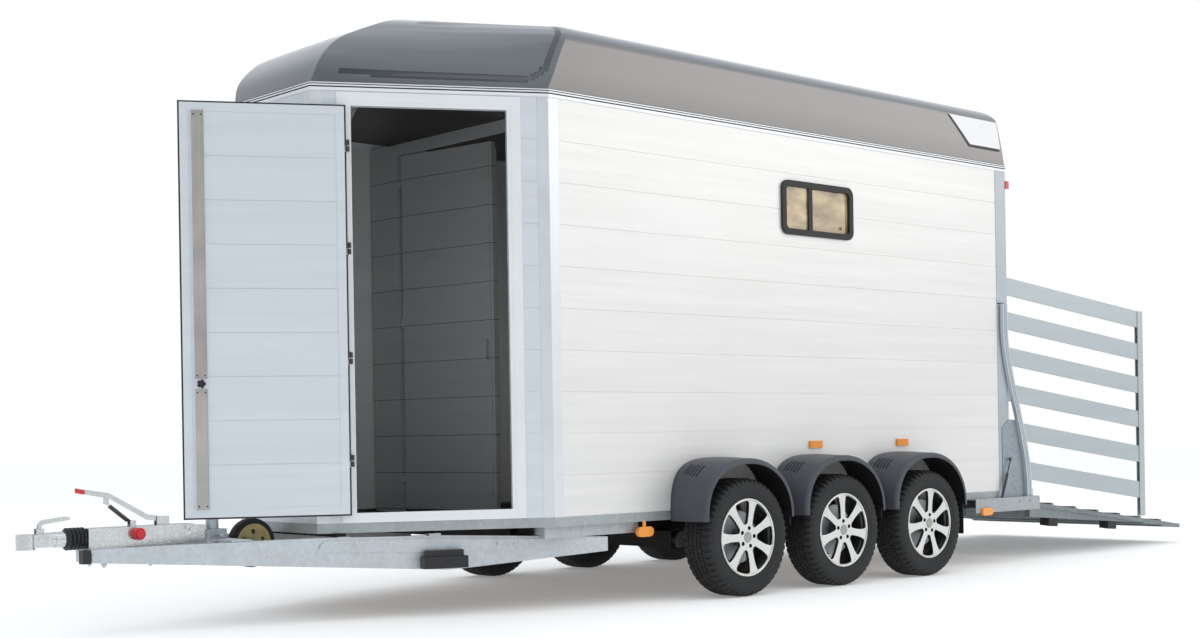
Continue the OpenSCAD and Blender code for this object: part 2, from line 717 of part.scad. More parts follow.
module tyre() {
    w = tyre_w / 2;
    r = tyre_r;
    b = rim_d / 2 - 7.7;
    half = [[b, w - 18.5], [b + 8.1, w - 18.3], [b + 11.7, w - 9.5], [b + 35, w - 2.5], [r - 53, w],
        [r - 27, w - 3.5], [r - 12, w - 12.5], [r - 3, w - 24], [r, w - 40], [r, 35], [r - 6, 34],
        [r - 6, 27], [r, 26], [r, 4], [r - 6, 3]];
    inner = [[r - 18, w - 42], [r - 35, w - 18], [r - 70, w - 14], [b + 12, w - 32], [b, w - 34]];
    rotate_extrude($fn = 96) polygon(concat(half, [for (i = [len(half) - 1:-1:0]) [half[i][0], -half[i][1]]],
        [for (i = [len(inner) - 1:-1:0]) [inner[i][0], -inner[i][1]]], inner));
}
module rim() {
    b = rim_d / 2;
    w = tyre_w / 2;
    h = w - 18;
    rotate_extrude($fn = 96) polygon([[b, h + 9], [b, h + 0.5], [b - 8, h], [b - 8, h - 20], [b - 22, h - 30],
        [b - 28, h - 64], [b - 28, -h + 56], [b - 22, -h + 34], [b - 8, -h + 20], [b - 8, -h], [b, -h - 0.5],
        [b, -h - 9], [b - 6, -h - 9], [b - 14, -h], [b - 14, -h + 22], [b - 34, -h + 39], [b - 34, h - 34],
        [b - 20, h - 18], [b - 12, h], [b - 6, h + 9]]);
    difference() {
        union() {
            translate([0, 0, h - 30]) linear_extrude(22) difference() {
                circle(b - 25, $fn = 96);
                for (k = [0:6]) rotate(k * 360 / 7 + 25.7) polygon([[64, -6], [b - 42, -52], [b - 36, -30],
                    [b - 34, 0], [b - 36, 30], [b - 42, 52], [64, 6]]);
            }
            translate([0, 0, h - 60]) cylinder(r = 62, h = 50, $fn = 96);
            translate([0, 0, h - 11]) cylinder(r = 31, h = 8, $fn = 96);
        }
        translate([0, 0, h - 61]) cylinder(r = 25.06, h = 42, $fn = 96);
        for (k = [0:4]) rotate(k * 72) translate([46, 0, h - 22]) cylinder(r = 9, h = 20, $fn = 32);
    }
}
module tyre_l1() { color(rubber) wheel_place(0, 0) tyre(); }
module tyre_l2() { color(rubber) wheel_place(1, 0) tyre(); }
module tyre_l3() { color(rubber) wheel_place(2, 0) tyre(); }
module tyre_r1() { color(rubber) wheel_place(0, 1) tyre(); }
module tyre_r2() { color(rubber) wheel_place(1, 1) tyre(); }
module tyre_r3() { color(rubber) wheel_place(2, 1) tyre(); }
module rim_l1() { color(alu) wheel_place(0, 0) rim(); }
module rim_l2() { color(alu) wheel_place(1, 0) rim(); }
module rim_l3() { color(alu) wheel_place(2, 0) rim(); }
module rim_r1() { color(alu) wheel_place(0, 1) rim(); }
module rim_r2() { color(alu) wheel_place(1, 1) rim(); }
module rim_r3() { color(alu) wheel_place(2, 1) rim(); }
// ---- coupling ----
hou_x0 = -2025;
hou_x1 = -1495;
lev_p = [-1640, 512];
spr_p = [-1790, 500];
clev = [-1914, 598];
spr_ang = atan2(clev[1] - spr_p[1], clev[0] - spr_p[0]);
spr_len = norm(clev - spr_p);
module overrun_housing() {
    color(galv) at() {
        difference() {
            union() {
                translate([hou_x0, -50, 394.6]) cube([hou_x1 - hou_x0, 100, 91]);
                translate([hou_x0, -62, 394.6]) cube([hou_x1 - hou_x0 - 60, 124, 7]);
            }
            translate([0, 0, tow_z]) xcyl(25.08, hou_x0 - 1, -1640);
            translate([-1500, -44, 400]) cube([300, 88, 80]);
        }
        translate([hou_x1 + 0.1, -30, 402.4]) cube([-1425.3 - hou_x1, 60, 74]);
        both() {
            translate([lev_p[0] - 30, 12.2, 485]) cube([60, 6, 40]);
            translate([spr_p[0] - 14, 12.2, 485]) cube([28, 6, 28]);
            for (p = [[-1540, 470], [-1515, 462], [-1515, 415]])
                translate([p[0], 0, p[1]]) ycyl(7, -56, -49);
        }
        translate([lev_p[0], 0, lev_p[1]]) ycyl(5, -19, 19);
        translate([spr_p[0], 0, spr_p[1]]) ycyl(4, -19, 19);
    }
}
module housing_cap() {
    color([0.8, 0.08, 0.1]) at() translate([-1790, 0, 452]) {
        ycyl(28, -82, -50.2);
        ycyl(20, -90, -81);
    }
}
module chock_holder() {
    color(rubber) at() both() translate([arm_a[0], arm_a[1], 0]) rotate([0, 0, arm_ang]) {
        translate([1545, -68, 236]) cube([225, 67.8, 58]);
        translate([1560, -58, 294]) cube([190, 40, 30]);
    }
    color(rubber) at() translate([arm_a[0] - 44, arm_a[1] - 20, 330]) cube([38, 44, 62]);
    color(rubber) at() translate([arm_a[0] - 7, arm_a[1] - 14, 340]) cube([6.8, 24, 40]);
}
module jockey_clamp() {
    color(galv) at() {
        both() translate([-1425, 44.2, 400.8]) cube([105, 225.8, 7]);
        translate([-1425, -44, 400.8]) cube([18.6, 88, 52]);
        translate([-1345.6, -44, 400.8]) cube([25.6, 88, 52]);
        both() translate([-1406.2, 30.3, 400.8]) cube([60.4, 13.7, 52]);
        translate([jock_x, 0, 428]) ycyl(10, -92, -43.9);
    }
}
module bellows() {
    color(rubber) at() translate([hou_x0 - 98, 0, tow_z]) rotate([0, 90, 0]) rotate_extrude($fn = 64)
        polygon(concat([[36.6, 0], [40, 0]],
            [for (i = [0:4]) each [[41, 6 + i * 18.4], [51, 12 + i * 18.4],
                [51, 17 + i * 18.4], [41, 23 + i * 18.4]]],
            [[44, 97.8], [36.6, 97.8]]));
}
module coupling_head() {
    color(galv) at() {
        difference() {
            union() {
                translate([-reach + 42, 0, 404]) cylinder(r = 42, h = 68, $fn = 64);
                translate([-reach + 42, -34, 412]) cube([110, 68, 60]);
                translate([-2240, 0, 445]) xcyl(32, 0, 82);
                translate([0, 0, tow_z]) xcyl(36, -2168, -2079);
                for (y = [-18, 12]) translate([-2252, y, 471]) cube([34, 6, 25]);
            }
            translate([-reach + 50, 0, 430]) sphere(r = ball_d / 2 + 0.05, $fn = 64);
            translate([-reach + 50, 0, 395]) cylinder(r = ball_d / 2 + 0.05, h = 35, $fn = 64);
        }
        translate([0, 0, tow_z]) xcyl(25, -2080, -1700);
        translate([-2235, 0, 487]) ycyl(4, -20, 20);
        for (p = [[-2245, 448], [-2205, 454]]) translate([p[0], 0, p[1]]) ycyl(6, -38, -30);
    }
}
module coupling_handle() {
    color(galv) at() difference() {
        union() {
            translate([-2235, 0, 487]) ycyl(9, -9, 9);
            yext(-7, 7) polygon([[-2244, 487], [-2240, 515], [-2226, 532], [-2110, 545], [-2092, 540],
                [-2094, 528], [-2215, 514], [-2226, 505], [-2226, 487]]);
        }
        translate([-2235, 0, 487]) ycyl(4.06, -10, 10);
    }
}
module handbrake_lever() {
    color(grey) at() {
        difference() {
            union() {
                translate([lev_p[0], 0, lev_p[1]]) ycyl(13, -10, 10);
                yext(-9, 9) polygon([[-1640, 525], [-1650, 502], [-1716, 512], [-1898, 616], [-2057, 648],
                    [-2060, 668], [-1905, 643], [-1712, 536]]);
                yext(-3, 3) polygon([[-1902, 636], [-1930, 640], [-1928, 594], [-1902, 590]]);
            }
            translate([lev_p[0], 0, lev_p[1]]) ycyl(5.06, -11, 11);
        }
    }
}
module spr_at() {
    at() translate([spr_p[0], 0, spr_p[1]]) rotate([0, 90 - spr_ang, 0]) children();
}
module brake_spring() {
    color(dark) spr_at() {
        difference() {
            union() {
                ycyl(8, -8, 8);
                translate([0, 0, 3]) cylinder(r = 7, h = 20, $fn = 32);
                translate([0, 12, 22]) cylinder(r = 10, h = spr_len - 48, $fn = 32);
                translate([-6, 0, 16]) cube([12, 12, 10]);
            }
            ycyl(4.06, -9, 9);
            translate([0, 12, 30]) cylinder(r = 4.06, h = spr_len, $fn = 32);
        }
    }
}
module brake_spring_rod() {
    color(grey) spr_at() {
        translate([0, 12, 45]) cylinder(r = 4, h = spr_len - 51, $fn = 32);
        translate([0, 0, spr_len]) ycyl(8, 5, 18);
    }
}
module jockey_tube() {
    color(galv) at() translate([jock_x, 0, 0]) difference() {
        union() {
            translate([0, 0, 390]) cylinder(r = 30, h = 470, $fn = 64);
            translate([0, 0, 860]) cylinder(r = 34, h = 36, $fn = 64);
        }
        translate([0, 0, 389]) cylinder(r = 25.06, h = 462, $fn = 64);
        translate([0, 0, 800]) cylinder(r = 6.06, h = 120, $fn = 48);
    }
}
module jockey_inner() {
    color(galv) at() translate([jock_x, 0, 0]) difference() {
        translate([0, 0, 376]) cylinder(r = 25, h = 420, $fn = 64);
        translate([0, 0, 375]) cylinder(r = 10.06, h = 60, $fn = 48);
    }
}
module jockey_fork() {
    color(galv) at() {
        translate([jock_x, 0, 366]) cylinder(r = 10, h = 60, $fn = 48);
        translate([jock_x, 0, 340]) cylinder(r = 26, h = 35.8, $fn = 64);
        for (y = [-52, 46]) yext(y, y + 6)
            polygon([[jock_x - 10, 340], [jock_x - 10, 372], [jock_x + 40, 385],
            [jock_wx + 14, 389], [jock_wx + 14, 361], [jock_x + 40, 345]]);
        translate([jock_x - 10, -52, 345]) cube([14, 104, 26]);
        translate([jock_wx, 0, jock_wz]) ycyl(8, -52, 52);
    }
}
module jockey_wheel() {
    color([0.7, 0.62, 0.3]) at() translate([jock_wx, 0, jock_wz]) difference() {
        union() {
            ycyl(jockey_d / 2 - 3, -36, 36);
            ycyl(jockey_d / 2, -24, 24);
            ycyl(24, -44, 44);
        }
        ycyl(8.06, -50, 50);
        for (s = [-1, 1]) difference() {
            ycyl(jockey_d / 2 - 28, s > 0 ? 12 : -50, s > 0 ? 50 : -12);
            ycyl(24, -60, 60);
        }
        for (k = [0:5]) rotate([0, k * 60, 0]) translate([58, 0, 0]) ycyl(13, -50, 50);
    }
}
module jockey_crank() {
    color(galv) at() translate([jock_x, 0, 0]) {
        translate([0, 0, 852]) cylinder(r = 6, h = 58, $fn = 48);
        translate([-8, -8, 900]) cube([78, 16, 8]);
        translate([62, 0, 907]) cylinder(r = 8, h = 52, $fn = 32);
    }
}

drawbar_beams();
chassis_frame();
floor_deck();
floor_mat();
sill_rails();
left_wall();
right_wall();
nose_walls();
bulkhead();
corner_posts();
rear_frame();
eaves_rail();
roof_shell();
window_frame();
window_fixed_pane();
window_sliding_pane();
door_frame();
side_profiles();
cheek_plates();
ramp_struts();
fenders_left();
fenders_right();
amber_lamps();
rear_lamps();
axle_tubes();
overrun_housing();
housing_cap();
chock_holder();
jockey_clamp();
bellows();
coupling_head();
coupling_handle();
handbrake_lever();
brake_spring();
brake_spring_rod();
jockey_tube();
jockey_inner();
jockey_fork();
jockey_wheel();
jockey_crank();
door_leaf();
door_seal();
door_latch();
partition_gate();
ramp_panel();
ramp_feet();
gate_left();
gate_right();
tyre_l1();
tyre_l2();
tyre_l3();
tyre_r1();
tyre_r2();
tyre_r3();
rim_l1();
rim_l2();
rim_l3();
rim_r1();
rim_r2();
rim_r3();
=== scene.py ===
import bpy, bmesh, json, math
from mathutils import Matrix, Vector

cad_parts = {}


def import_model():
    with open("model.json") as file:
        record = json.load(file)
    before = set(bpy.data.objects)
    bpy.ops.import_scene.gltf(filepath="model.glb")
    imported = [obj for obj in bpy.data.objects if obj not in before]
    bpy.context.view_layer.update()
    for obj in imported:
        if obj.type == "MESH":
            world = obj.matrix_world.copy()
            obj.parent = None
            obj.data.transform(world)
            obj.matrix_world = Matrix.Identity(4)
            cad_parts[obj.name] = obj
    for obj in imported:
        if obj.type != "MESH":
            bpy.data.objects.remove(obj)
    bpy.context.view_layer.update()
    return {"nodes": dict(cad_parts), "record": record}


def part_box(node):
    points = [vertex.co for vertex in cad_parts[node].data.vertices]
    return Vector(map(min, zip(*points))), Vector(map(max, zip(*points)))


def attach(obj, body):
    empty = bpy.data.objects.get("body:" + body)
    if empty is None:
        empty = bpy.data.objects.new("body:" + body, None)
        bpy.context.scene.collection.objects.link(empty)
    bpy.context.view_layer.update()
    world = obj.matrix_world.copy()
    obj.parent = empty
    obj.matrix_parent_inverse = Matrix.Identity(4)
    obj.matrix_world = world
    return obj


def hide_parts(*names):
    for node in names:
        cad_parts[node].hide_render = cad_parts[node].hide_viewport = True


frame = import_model()
N = frame["nodes"]
R = math.radians

# ---------------------------------------------------------------- frame
WINDOW_X = 1.722                # window frame's front edge, from the side wall's front corner
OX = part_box("window_frame")[0].x - WINDOW_X
HW = 0.92                       # half the body's width
SIDE_LEN = 3.930                # side wall, from its front corner to the rear
NOSE_LEN = 1.160                # the slanted nose panel
NANG = R(29.3)                  # and its angle to the trailer's length
NDX = NOSE_LEN * math.cos(NANG)
NHW = HW - NOSE_LEN * math.sin(NANG)
SEAM_Z, SEAM_PITCH = 0.468, 0.2078   # the lowest plank joint and the planks' height


def W(x, y, z):
    """A point given from the front corner of the side wall, in the row frame."""
    return Vector((x + OX, y, z))


# ---------------------------------------------------------------- materials
def nd(nt, kind, **sets):
    n = nt.nodes.new(kind)
    for k, v in sets.items():
        if hasattr(n, k) and k not in n.inputs:
            setattr(n, k, v)
        else:
            n.inputs[k].default_value = v
    return n


def ramp(nt, src, stops):
    r = nt.nodes.new("ShaderNodeValToRGB")
    e = r.color_ramp.elements
    while len(e) < len(stops):
        e.new(0.5)
    for el, (p, c) in zip(e, stops):
        el.position = p
        el.color = (c[0], c[1], c[2], 1) if isinstance(c, (tuple, list)) else (c, c, c, 1)
    nt.links.new(src, r.inputs[0])
    return r.outputs[0]


def vmul(nt, src, v):
    m = nt.nodes.new("ShaderNodeVectorMath")
    m.operation = "MULTIPLY"
    nt.links.new(src, m.inputs[0])
    m.inputs[1].default_value = v
    return m.outputs[0]


def math_(nt, op, a, b=None, c=None):
    m = nt.nodes.new("ShaderNodeMath")
    m.operation = op
    for i, v in enumerate((a, b, c)):
        if v is None:
            continue
        if isinstance(v, (int, float)):
            m.inputs[i].default_value = v
        else:
            nt.links.new(v, m.inputs[i])
    return m.outputs[0]


def mixc(nt, f, a, b):
    m = nt.nodes.new("ShaderNodeMix")
    m.data_type = "RGBA"
    for i, v in ((0, f), (6, a), (7, b)):
        if isinstance(v, (int, float)):
            m.inputs[i].default_value = v
        elif isinstance(v, (tuple, list)):
            m.inputs[i].default_value = (v[0], v[1], v[2], 1)
        else:
            nt.links.new(v, m.inputs[i])
    return m.outputs[2]


def noise(nt, vec, scale, detail=3, rough=0.55):
    n = nd(nt, "ShaderNodeTexNoise", Scale=scale, Detail=detail, Roughness=rough)
    nt.links.new(vec, n.inputs["Vector"])
    return n.outputs[0]


def base(name, metal, spec=0.5, coat=0.0, coat_rough=0.1, ior=1.45):
    m = bpy.data.materials.new(name)
    m.use_nodes = True
    nt = m.node_tree
    b = nt.nodes["Principled BSDF"]
    b.inputs["Metallic"].default_value = metal
    b.inputs["Specular IOR Level"].default_value = spec
    b.inputs["Coat Weight"].default_value = coat
    b.inputs["Coat Roughness"].default_value = coat_rough
    b.inputs["IOR"].default_value = ior
    co = nt.nodes.new("ShaderNodeTexCoord").outputs["Object"]
    return m, nt, b, co


def bump(nt, b, h, strength, dist):
    n = nd(nt, "ShaderNodeBump", Strength=strength, Distance=dist)
    nt.links.new(h, n.inputs["Height"])
    nt.links.new(n.outputs[0], b.inputs["Normal"])


def zinc(name, c, rough=0.42, cell=55, metal=0.75, dirt=0.25):
    """Spangled zinc: crystal cells of differing grey, fine grain and a little dirt."""
    m, nt, b, co = base(name, metal)
    v = nd(nt, "ShaderNodeTexVoronoi", Scale=cell)
    nt.links.new(co, v.inputs["Vector"])
    cell_v = nd(nt, "ShaderNodeSeparateColor")
    nt.links.new(v.outputs["Color"], cell_v.inputs[0])
    dk, lt = [x * 0.94 for x in c], [min(1, x * 1.05) for x in c]
    col = ramp(nt, cell_v.outputs[0], [(0, dk), (1, lt)])
    n = noise(nt, co, 5, 5)
    col = mixc(nt, math_(nt, "MULTIPLY", ramp(nt, n, [(0.45, 0), (0.8, 1)]), dirt), col,
               [x * 0.62 for x in c])
    nt.links.new(col, b.inputs["Base Color"])
    g = noise(nt, co, 260, 2)
    r = math_(nt, "ADD", math_(nt, "MULTIPLY", cell_v.outputs[1], 0.16), rough - 0.08)
    nt.links.new(math_(nt, "ADD", r, math_(nt, "MULTIPLY", g, 0.12)), b.inputs["Roughness"])
    bump(nt, b, g, 0.12, 0.0008)
    return m


def planks(name, c, metal=0.35, rough=0.40, seams=False):
    """Anodised hollow planks: faint long waves, fine drawn lines and soft stains."""
    m, nt, b, co = base(name, metal)
    long_ = noise(nt, vmul(nt, co, (0.35, 0.35, 9.0)), 2.2, 4)
    streak = noise(nt, vmul(nt, co, (0.6, 0.6, 60.0)), 5, 3)
    blot = noise(nt, co, 1.1, 3)
    col = mixc(nt, ramp(nt, long_, [(0.3, 0), (0.75, 1)]),
               [x * 0.955 for x in c], [min(1, x * 1.03) for x in c])
    col = mixc(nt, math_(nt, "MULTIPLY", streak, 0.10), col, [x * 0.80 for x in c])
    col = mixc(nt, math_(nt, "MULTIPLY", ramp(nt, blot, [(0.45, 0), (0.75, 1)]), 0.10), col,
               [c[0] * 0.86, c[1] * 0.84, c[2] * 0.80])
    if seams:
        s = nt.nodes.new("ShaderNodeSeparateXYZ")
        nt.links.new(co, s.inputs[0])
        up_wall = math_(nt, "SUBTRACT", s.outputs[2], SEAM_Z)
        f = math_(nt, "FRACT", math_(nt, "DIVIDE", up_wall, SEAM_PITCH))
        d = math_(nt, "ABSOLUTE", math_(nt, "SUBTRACT", f, 0.5))
        col = mixc(nt, ramp(nt, d, [(0.488, 0), (0.494, 1)]), col, [x * 0.25 for x in c])
    nt.links.new(col, b.inputs["Base Color"])
    r = math_(nt, "ADD", math_(nt, "MULTIPLY", streak, 0.18), rough - 0.09)
    nt.links.new(r, b.inputs["Roughness"])
    h = math_(nt, "ADD", math_(nt, "MULTIPLY", long_, 1.0), math_(nt, "MULTIPLY", streak, 0.08))
    bump(nt, b, h, 0.25, 0.004)
    return m


def satin(name, c, rough=0.45, metal=0.0, grain=300, gs=0.25, var=0.1, coat=0.0, dist=0.0006):
    """Painted, moulded or extruded surfaces: fine grain, mild mottling and varied gloss."""
    m, nt, b, co = base(name, metal, coat=coat)
    n = noise(nt, co, 3.5, 4)
    g = noise(nt, co, grain, 2)
    col = mixc(nt, ramp(nt, n, [(0.3, 0), (0.75, 1)]),
               [x * (1 - var) for x in c], [min(1, x * (1 + var)) for x in c])
    nt.links.new(col, b.inputs["Base Color"])
    nt.links.new(math_(nt, "ADD", math_(nt, "MULTIPLY", n, 0.16), rough - 0.08), b.inputs["Roughness"])
    bump(nt, b, g, gs, dist)
    return m


MAT = {
    "galvanised_steel": zinc("galvanised_steel", (0.60, 0.64, 0.67)),
    "zinc_plated": zinc("zinc_plated", (0.66, 0.68, 0.68), rough=0.2, cell=140, dirt=0.3, metal=0.95),
    "chassis_steel": zinc("chassis_steel", (0.40, 0.42, 0.43), rough=0.5, dirt=0.5),
    "plywood": satin("plywood", (0.30, 0.20, 0.12), rough=0.6, grain=80),
    "floor_rubber": satin("floor_rubber", (0.025, 0.025, 0.026), rough=0.75, grain=160, gs=0.6),
    "plank_aluminium": planks("plank_aluminium", (0.80, 0.79, 0.775)),
    # door_aluminium is painted shade: a cooler, darker copy of the plank colour for the nose walls and door
    "door_aluminium": planks("door_aluminium", (0.70, 0.745, 0.79)),
    "inner_aluminium": planks("inner_aluminium", (0.50, 0.505, 0.50), rough=0.5, seams=True),
    "trim_aluminium": satin("trim_aluminium", (0.72, 0.75, 0.78), rough=0.36, metal=0.6,
                            grain=400, gs=0.1, var=0.05),
    "white_trim": satin("white_trim", (0.82, 0.84, 0.86), rough=0.33, metal=0.25,
                        grain=400, gs=0.08, var=0.03),
    "black_rubber": satin("black_rubber", (0.018, 0.018, 0.019), rough=0.55),
    "fender_plastic": satin("fender_plastic", (0.062, 0.066, 0.080), rough=0.5,
                            grain=700, gs=0.6, dist=0.0008),
    "amber_lens": satin("amber_lens", (0.95, 0.32, 0.02), rough=0.2, grain=150, gs=0.5, coat=0.6),
    "red_lens": satin("red_lens", (0.62, 0.02, 0.02), rough=0.2, grain=150, gs=0.5, coat=0.6),
    "red_plastic": satin("red_plastic", (0.62, 0.03, 0.04), rough=0.4),
    "black_plastic": satin("black_plastic", (0.02, 0.02, 0.022), rough=0.42),
    "black_steel": satin("black_steel", (0.03, 0.03, 0.032), rough=0.3, coat=0.3),
    "tyre": satin("tyre", (0.017, 0.0175, 0.0185), rough=0.72, grain=240, gs=0.4, var=0.25),
    "alloy": satin("alloy", (0.70, 0.71, 0.69), rough=0.26, metal=0.85,
                   grain=500, gs=0.03, var=0.04),
    "yellow_zinc": satin("yellow_zinc", (0.62, 0.52, 0.26), rough=0.35, metal=0.7, var=0.2),
}


# the colour change over BAND_H is painted reflection: light low on the roof, darker at the top
BAND_Z, BAND_H = 2.60, 0.45     # the roof's foot, and the height over which its colour changes


def roof_material(name, low, high):
    """Glossy moulded roof: low and high are its colours below and above the band, the change between them
    painted reflection, lighter low down and darker at the top.
    """
    m, nt, b, co = base(name, 0.0, coat=1.0, coat_rough=0.12)
    n = noise(nt, co, 1.6, 4)
    g = noise(nt, co, 130, 2)
    s = nt.nodes.new("ShaderNodeSeparateXYZ")
    nt.links.new(co, s.inputs[0])
    z = math_(nt, "ADD", s.outputs[2], math_(nt, "MULTIPLY", n, 0.02))
    t = math_(nt, "DIVIDE", math_(nt, "SUBTRACT", z, BAND_Z), BAND_H)
    # painted reflection up the band: a darker foot, then the lighter low colour, then the darker high
    # colour
    foot = [x * 0.78 for x in low]
    col = ramp(nt, t, [(0.0, foot), (0.30, low), (0.58, low), (0.68, high), (1.0, high)])
    stain = math_(nt, "MULTIPLY", ramp(nt, n, [(0.3, 0), (0.75, 1)]), 0.2)
    col = mixc(nt, stain, col, [x * 0.7 for x in low])
    nt.links.new(col, b.inputs["Base Color"])
    nt.links.new(math_(nt, "ADD", math_(nt, "MULTIPLY", n, 0.14), 0.30), b.inputs["Roughness"])
    h = math_(nt, "ADD", math_(nt, "MULTIPLY", noise(nt, co, 2.2, 2), 1.0),
              math_(nt, "MULTIPLY", g, 0.015))
    bump(nt, b, h, 0.3, 0.006)
    return m


def glass_material():
    """Bronze glass with soft cloudy reflections in its colour."""
    m, nt, b, co = base("tinted_glass", 0.0, coat=1.0, coat_rough=0.02, ior=1.5)
    n = noise(nt, vmul(nt, co, (1, 1, 2.2)), 3.2, 3)
    col = mixc(nt, ramp(nt, n, [(0.35, 0), (0.7, 1)]), (0.16, 0.105, 0.04), (0.62, 0.47, 0.24))
    nt.links.new(col, b.inputs["Base Color"])
    nt.links.new(math_(nt, "ADD", math_(nt, "MULTIPLY", n, 0.06), 0.04), b.inputs["Roughness"])
    return m


MAT["roof_polyester"] = roof_material("roof_polyester",
                                      (0.215, 0.196, 0.188), (0.090, 0.105, 0.130))
# roof_nose is painted shade: a darker, bluer copy of the roof colours for the faces over the nose
MAT["roof_nose"] = roof_material("roof_nose", (0.110, 0.125, 0.138), (0.075, 0.090, 0.120))
MAT["tinted_glass"] = glass_material()
MAT["dull_zinc"] = zinc("dull_zinc", (0.33, 0.37, 0.41), rough=0.5)
MAT["post_aluminium"] = satin("post_aluminium", (0.46, 0.50, 0.53), rough=0.4, metal=0.5,
                              grain=400, gs=0.1, var=0.05)
MAT["gate_aluminium"] = planks("gate_aluminium", (0.47, 0.52, 0.54), metal=0.5, rough=0.42)
MAT["ramp_steel"] = zinc("ramp_steel", (0.27, 0.30, 0.31), rough=0.5, dirt=0.5)
MAT["sill_zinc"] = zinc("sill_zinc", (0.42, 0.45, 0.46), rough=0.45, dirt=0.35)
MAT["profile_aluminium"] = satin("profile_aluminium", (0.56, 0.60, 0.64), rough=0.35, metal=0.6,
                                 grain=400, gs=0.1, var=0.06)
MAT["channel_steel"] = satin("channel_steel", (0.47, 0.45, 0.42), rough=0.4, metal=0.6,
                             grain=120, gs=0.2, var=0.2)


def under_frame_painted_shade():
    """Galvanised outer members with road dirt, and painted shade further in under the body: near black
    inboard of |y| 0.8 and forward of x 2.
    """
    m = zinc("under_frame_painted_shade", (0.50, 0.53, 0.55), rough=0.5, dirt=0.5)
    nt = m.node_tree
    b = nt.nodes["Principled BSDF"]
    src = b.inputs["Base Color"].links[0].from_socket
    co = nt.nodes.new("ShaderNodeTexCoord").outputs["Object"]
    s = nt.nodes.new("ShaderNodeSeparateXYZ")
    nt.links.new(co, s.inputs[0])
    y = math_(nt, "ABSOLUTE", s.outputs[1])
    rear = ramp(nt, math_(nt, "MULTIPLY", s.outputs[0], 0.25), [(0.50, 0), (0.53, 1)])
    out = math_(nt, "MAXIMUM", ramp(nt, y, [(0.79, 0), (0.82, 1)]), rear)
    # painted shade: near black where the members run in under the body, the zinc colour elsewhere
    nt.links.new(mixc(nt, out, (0.022, 0.021, 0.020), src), b.inputs["Base Color"])
    return m


MAT["under_frame_painted_shade"] = under_frame_painted_shade()

# CAD nodes that look different from the rest of their record slot
OWN_LOOK = {
    # door_leaf and nose_walls take the painted-shade copy of the plank colour
    "door_leaf": "door_aluminium", "nose_walls": "door_aluminium",
    # chassis_frame and axle_tubes take the painted shade under the body
    "chassis_frame": "under_frame_painted_shade", "axle_tubes": "under_frame_painted_shade",
    "cheek_plates": "dull_zinc", "rear_frame": "post_aluminium",
    "coupling_head": "zinc_plated", "ramp_panel": "ramp_steel",
    "gate_left": "gate_aluminium", "gate_right": "gate_aluminium",
    "sill_rails": "sill_zinc", "side_profiles": "profile_aluminium",
}

for s in frame["record"]["subparts"]:
    o = N[s["node"]]
    mat = MAT[OWN_LOOK.get(s["node"], s["material_slot"])]
    if not o.material_slots:
        o.data.materials.append(mat)
    for ms in o.material_slots:
        ms.link = "OBJECT"
        ms.material = mat

# materials of the visual pieces alone
# painted shade: near black for the fenders' insides and the grooves of their vent slots
MAT["painted_shade_black"] = satin("painted_shade_black", (0.006, 0.006, 0.006), rough=0.9)
MAT["pocket_black"] = satin("pocket_black", (0.012, 0.012, 0.013), rough=0.3, coat=0.5)
MAT["cap_grey"] = satin("cap_grey", (0.36, 0.40, 0.35), rough=0.35, metal=0.5)
MAT["mark_silver"] = satin("mark_silver", (0.74, 0.74, 0.76), rough=0.35, metal=0.2,
                           grain=500, gs=0.1, var=0.03)
# painted shade: a near black sheet on the edge faces of the roof's recess
MAT["recess_painted_shade"] = satin("recess_painted_shade", (0.025, 0.030, 0.045), rough=0.35, coat=0.5)

# ---------------------------------------------------------------- mesh helpers
BODY = "trailer_body"


def obj(name, me, body, mats, smooth=None, replaces=()):
    """Puts a mesh in the scene on a body, with edges over smooth degrees kept sharp."""
    o = bpy.data.objects.new(name, me)
    bpy.context.collection.objects.link(o)
    for m in mats:
        me.materials.append(MAT[m])
    if smooth is not None:
        for p in me.polygons:
            p.use_smooth = True
        me.set_sharp_from_angle(angle=R(smooth))
    if replaces:
        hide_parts(*replaces)
    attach(o, body)
    return o


def mesh(name, verts, faces, mats=()):
    """A mesh with its normals outward. mats, where given, holds a material index per face."""
    me = bpy.data.meshes.new(name)
    me.from_pydata([tuple(v) for v in verts], [], faces)
    for p, m in zip(me.polygons, mats):
        p.material_index = m
    bm = bmesh.new()
    bm.from_mesh(me)
    bmesh.ops.recalc_face_normals(bm, faces=bm.faces)
    bm.to_mesh(me)
    bm.free()
    return me


def join(parts):
    """One list of vertices and faces out of several, with a material index per part."""
    V, F, M = [], [], []
    for v, f, m in parts:
        k = len(V)
        V += list(v)
        F += [tuple(i + k for i in q) for q in f]
        M += [m] * len(f) if isinstance(m, int) else list(m)
    return V, F, M


def lathe(prof, n, shape=None):
    """Turns a closed ring of (radius, y) points round the Y axis in n columns.

    shape(j, r, y, i) may change point j in column i."""
    V, F = [], []
    k = len(prof)
    for i in range(n):
        a = 2 * math.pi * i / n
        for j, (r, y) in enumerate(prof):
            if shape:
                r, y = shape(j, r, y, i)
            V.append((r * math.cos(a), y, r * math.sin(a)))
    for i in range(n):
        for j in range(k):
            a, b = i * k, ((i + 1) % n) * k
            jn = (j + 1) % k
            F.append((a + j, a + jn, b + jn, b + j))
    return V, F


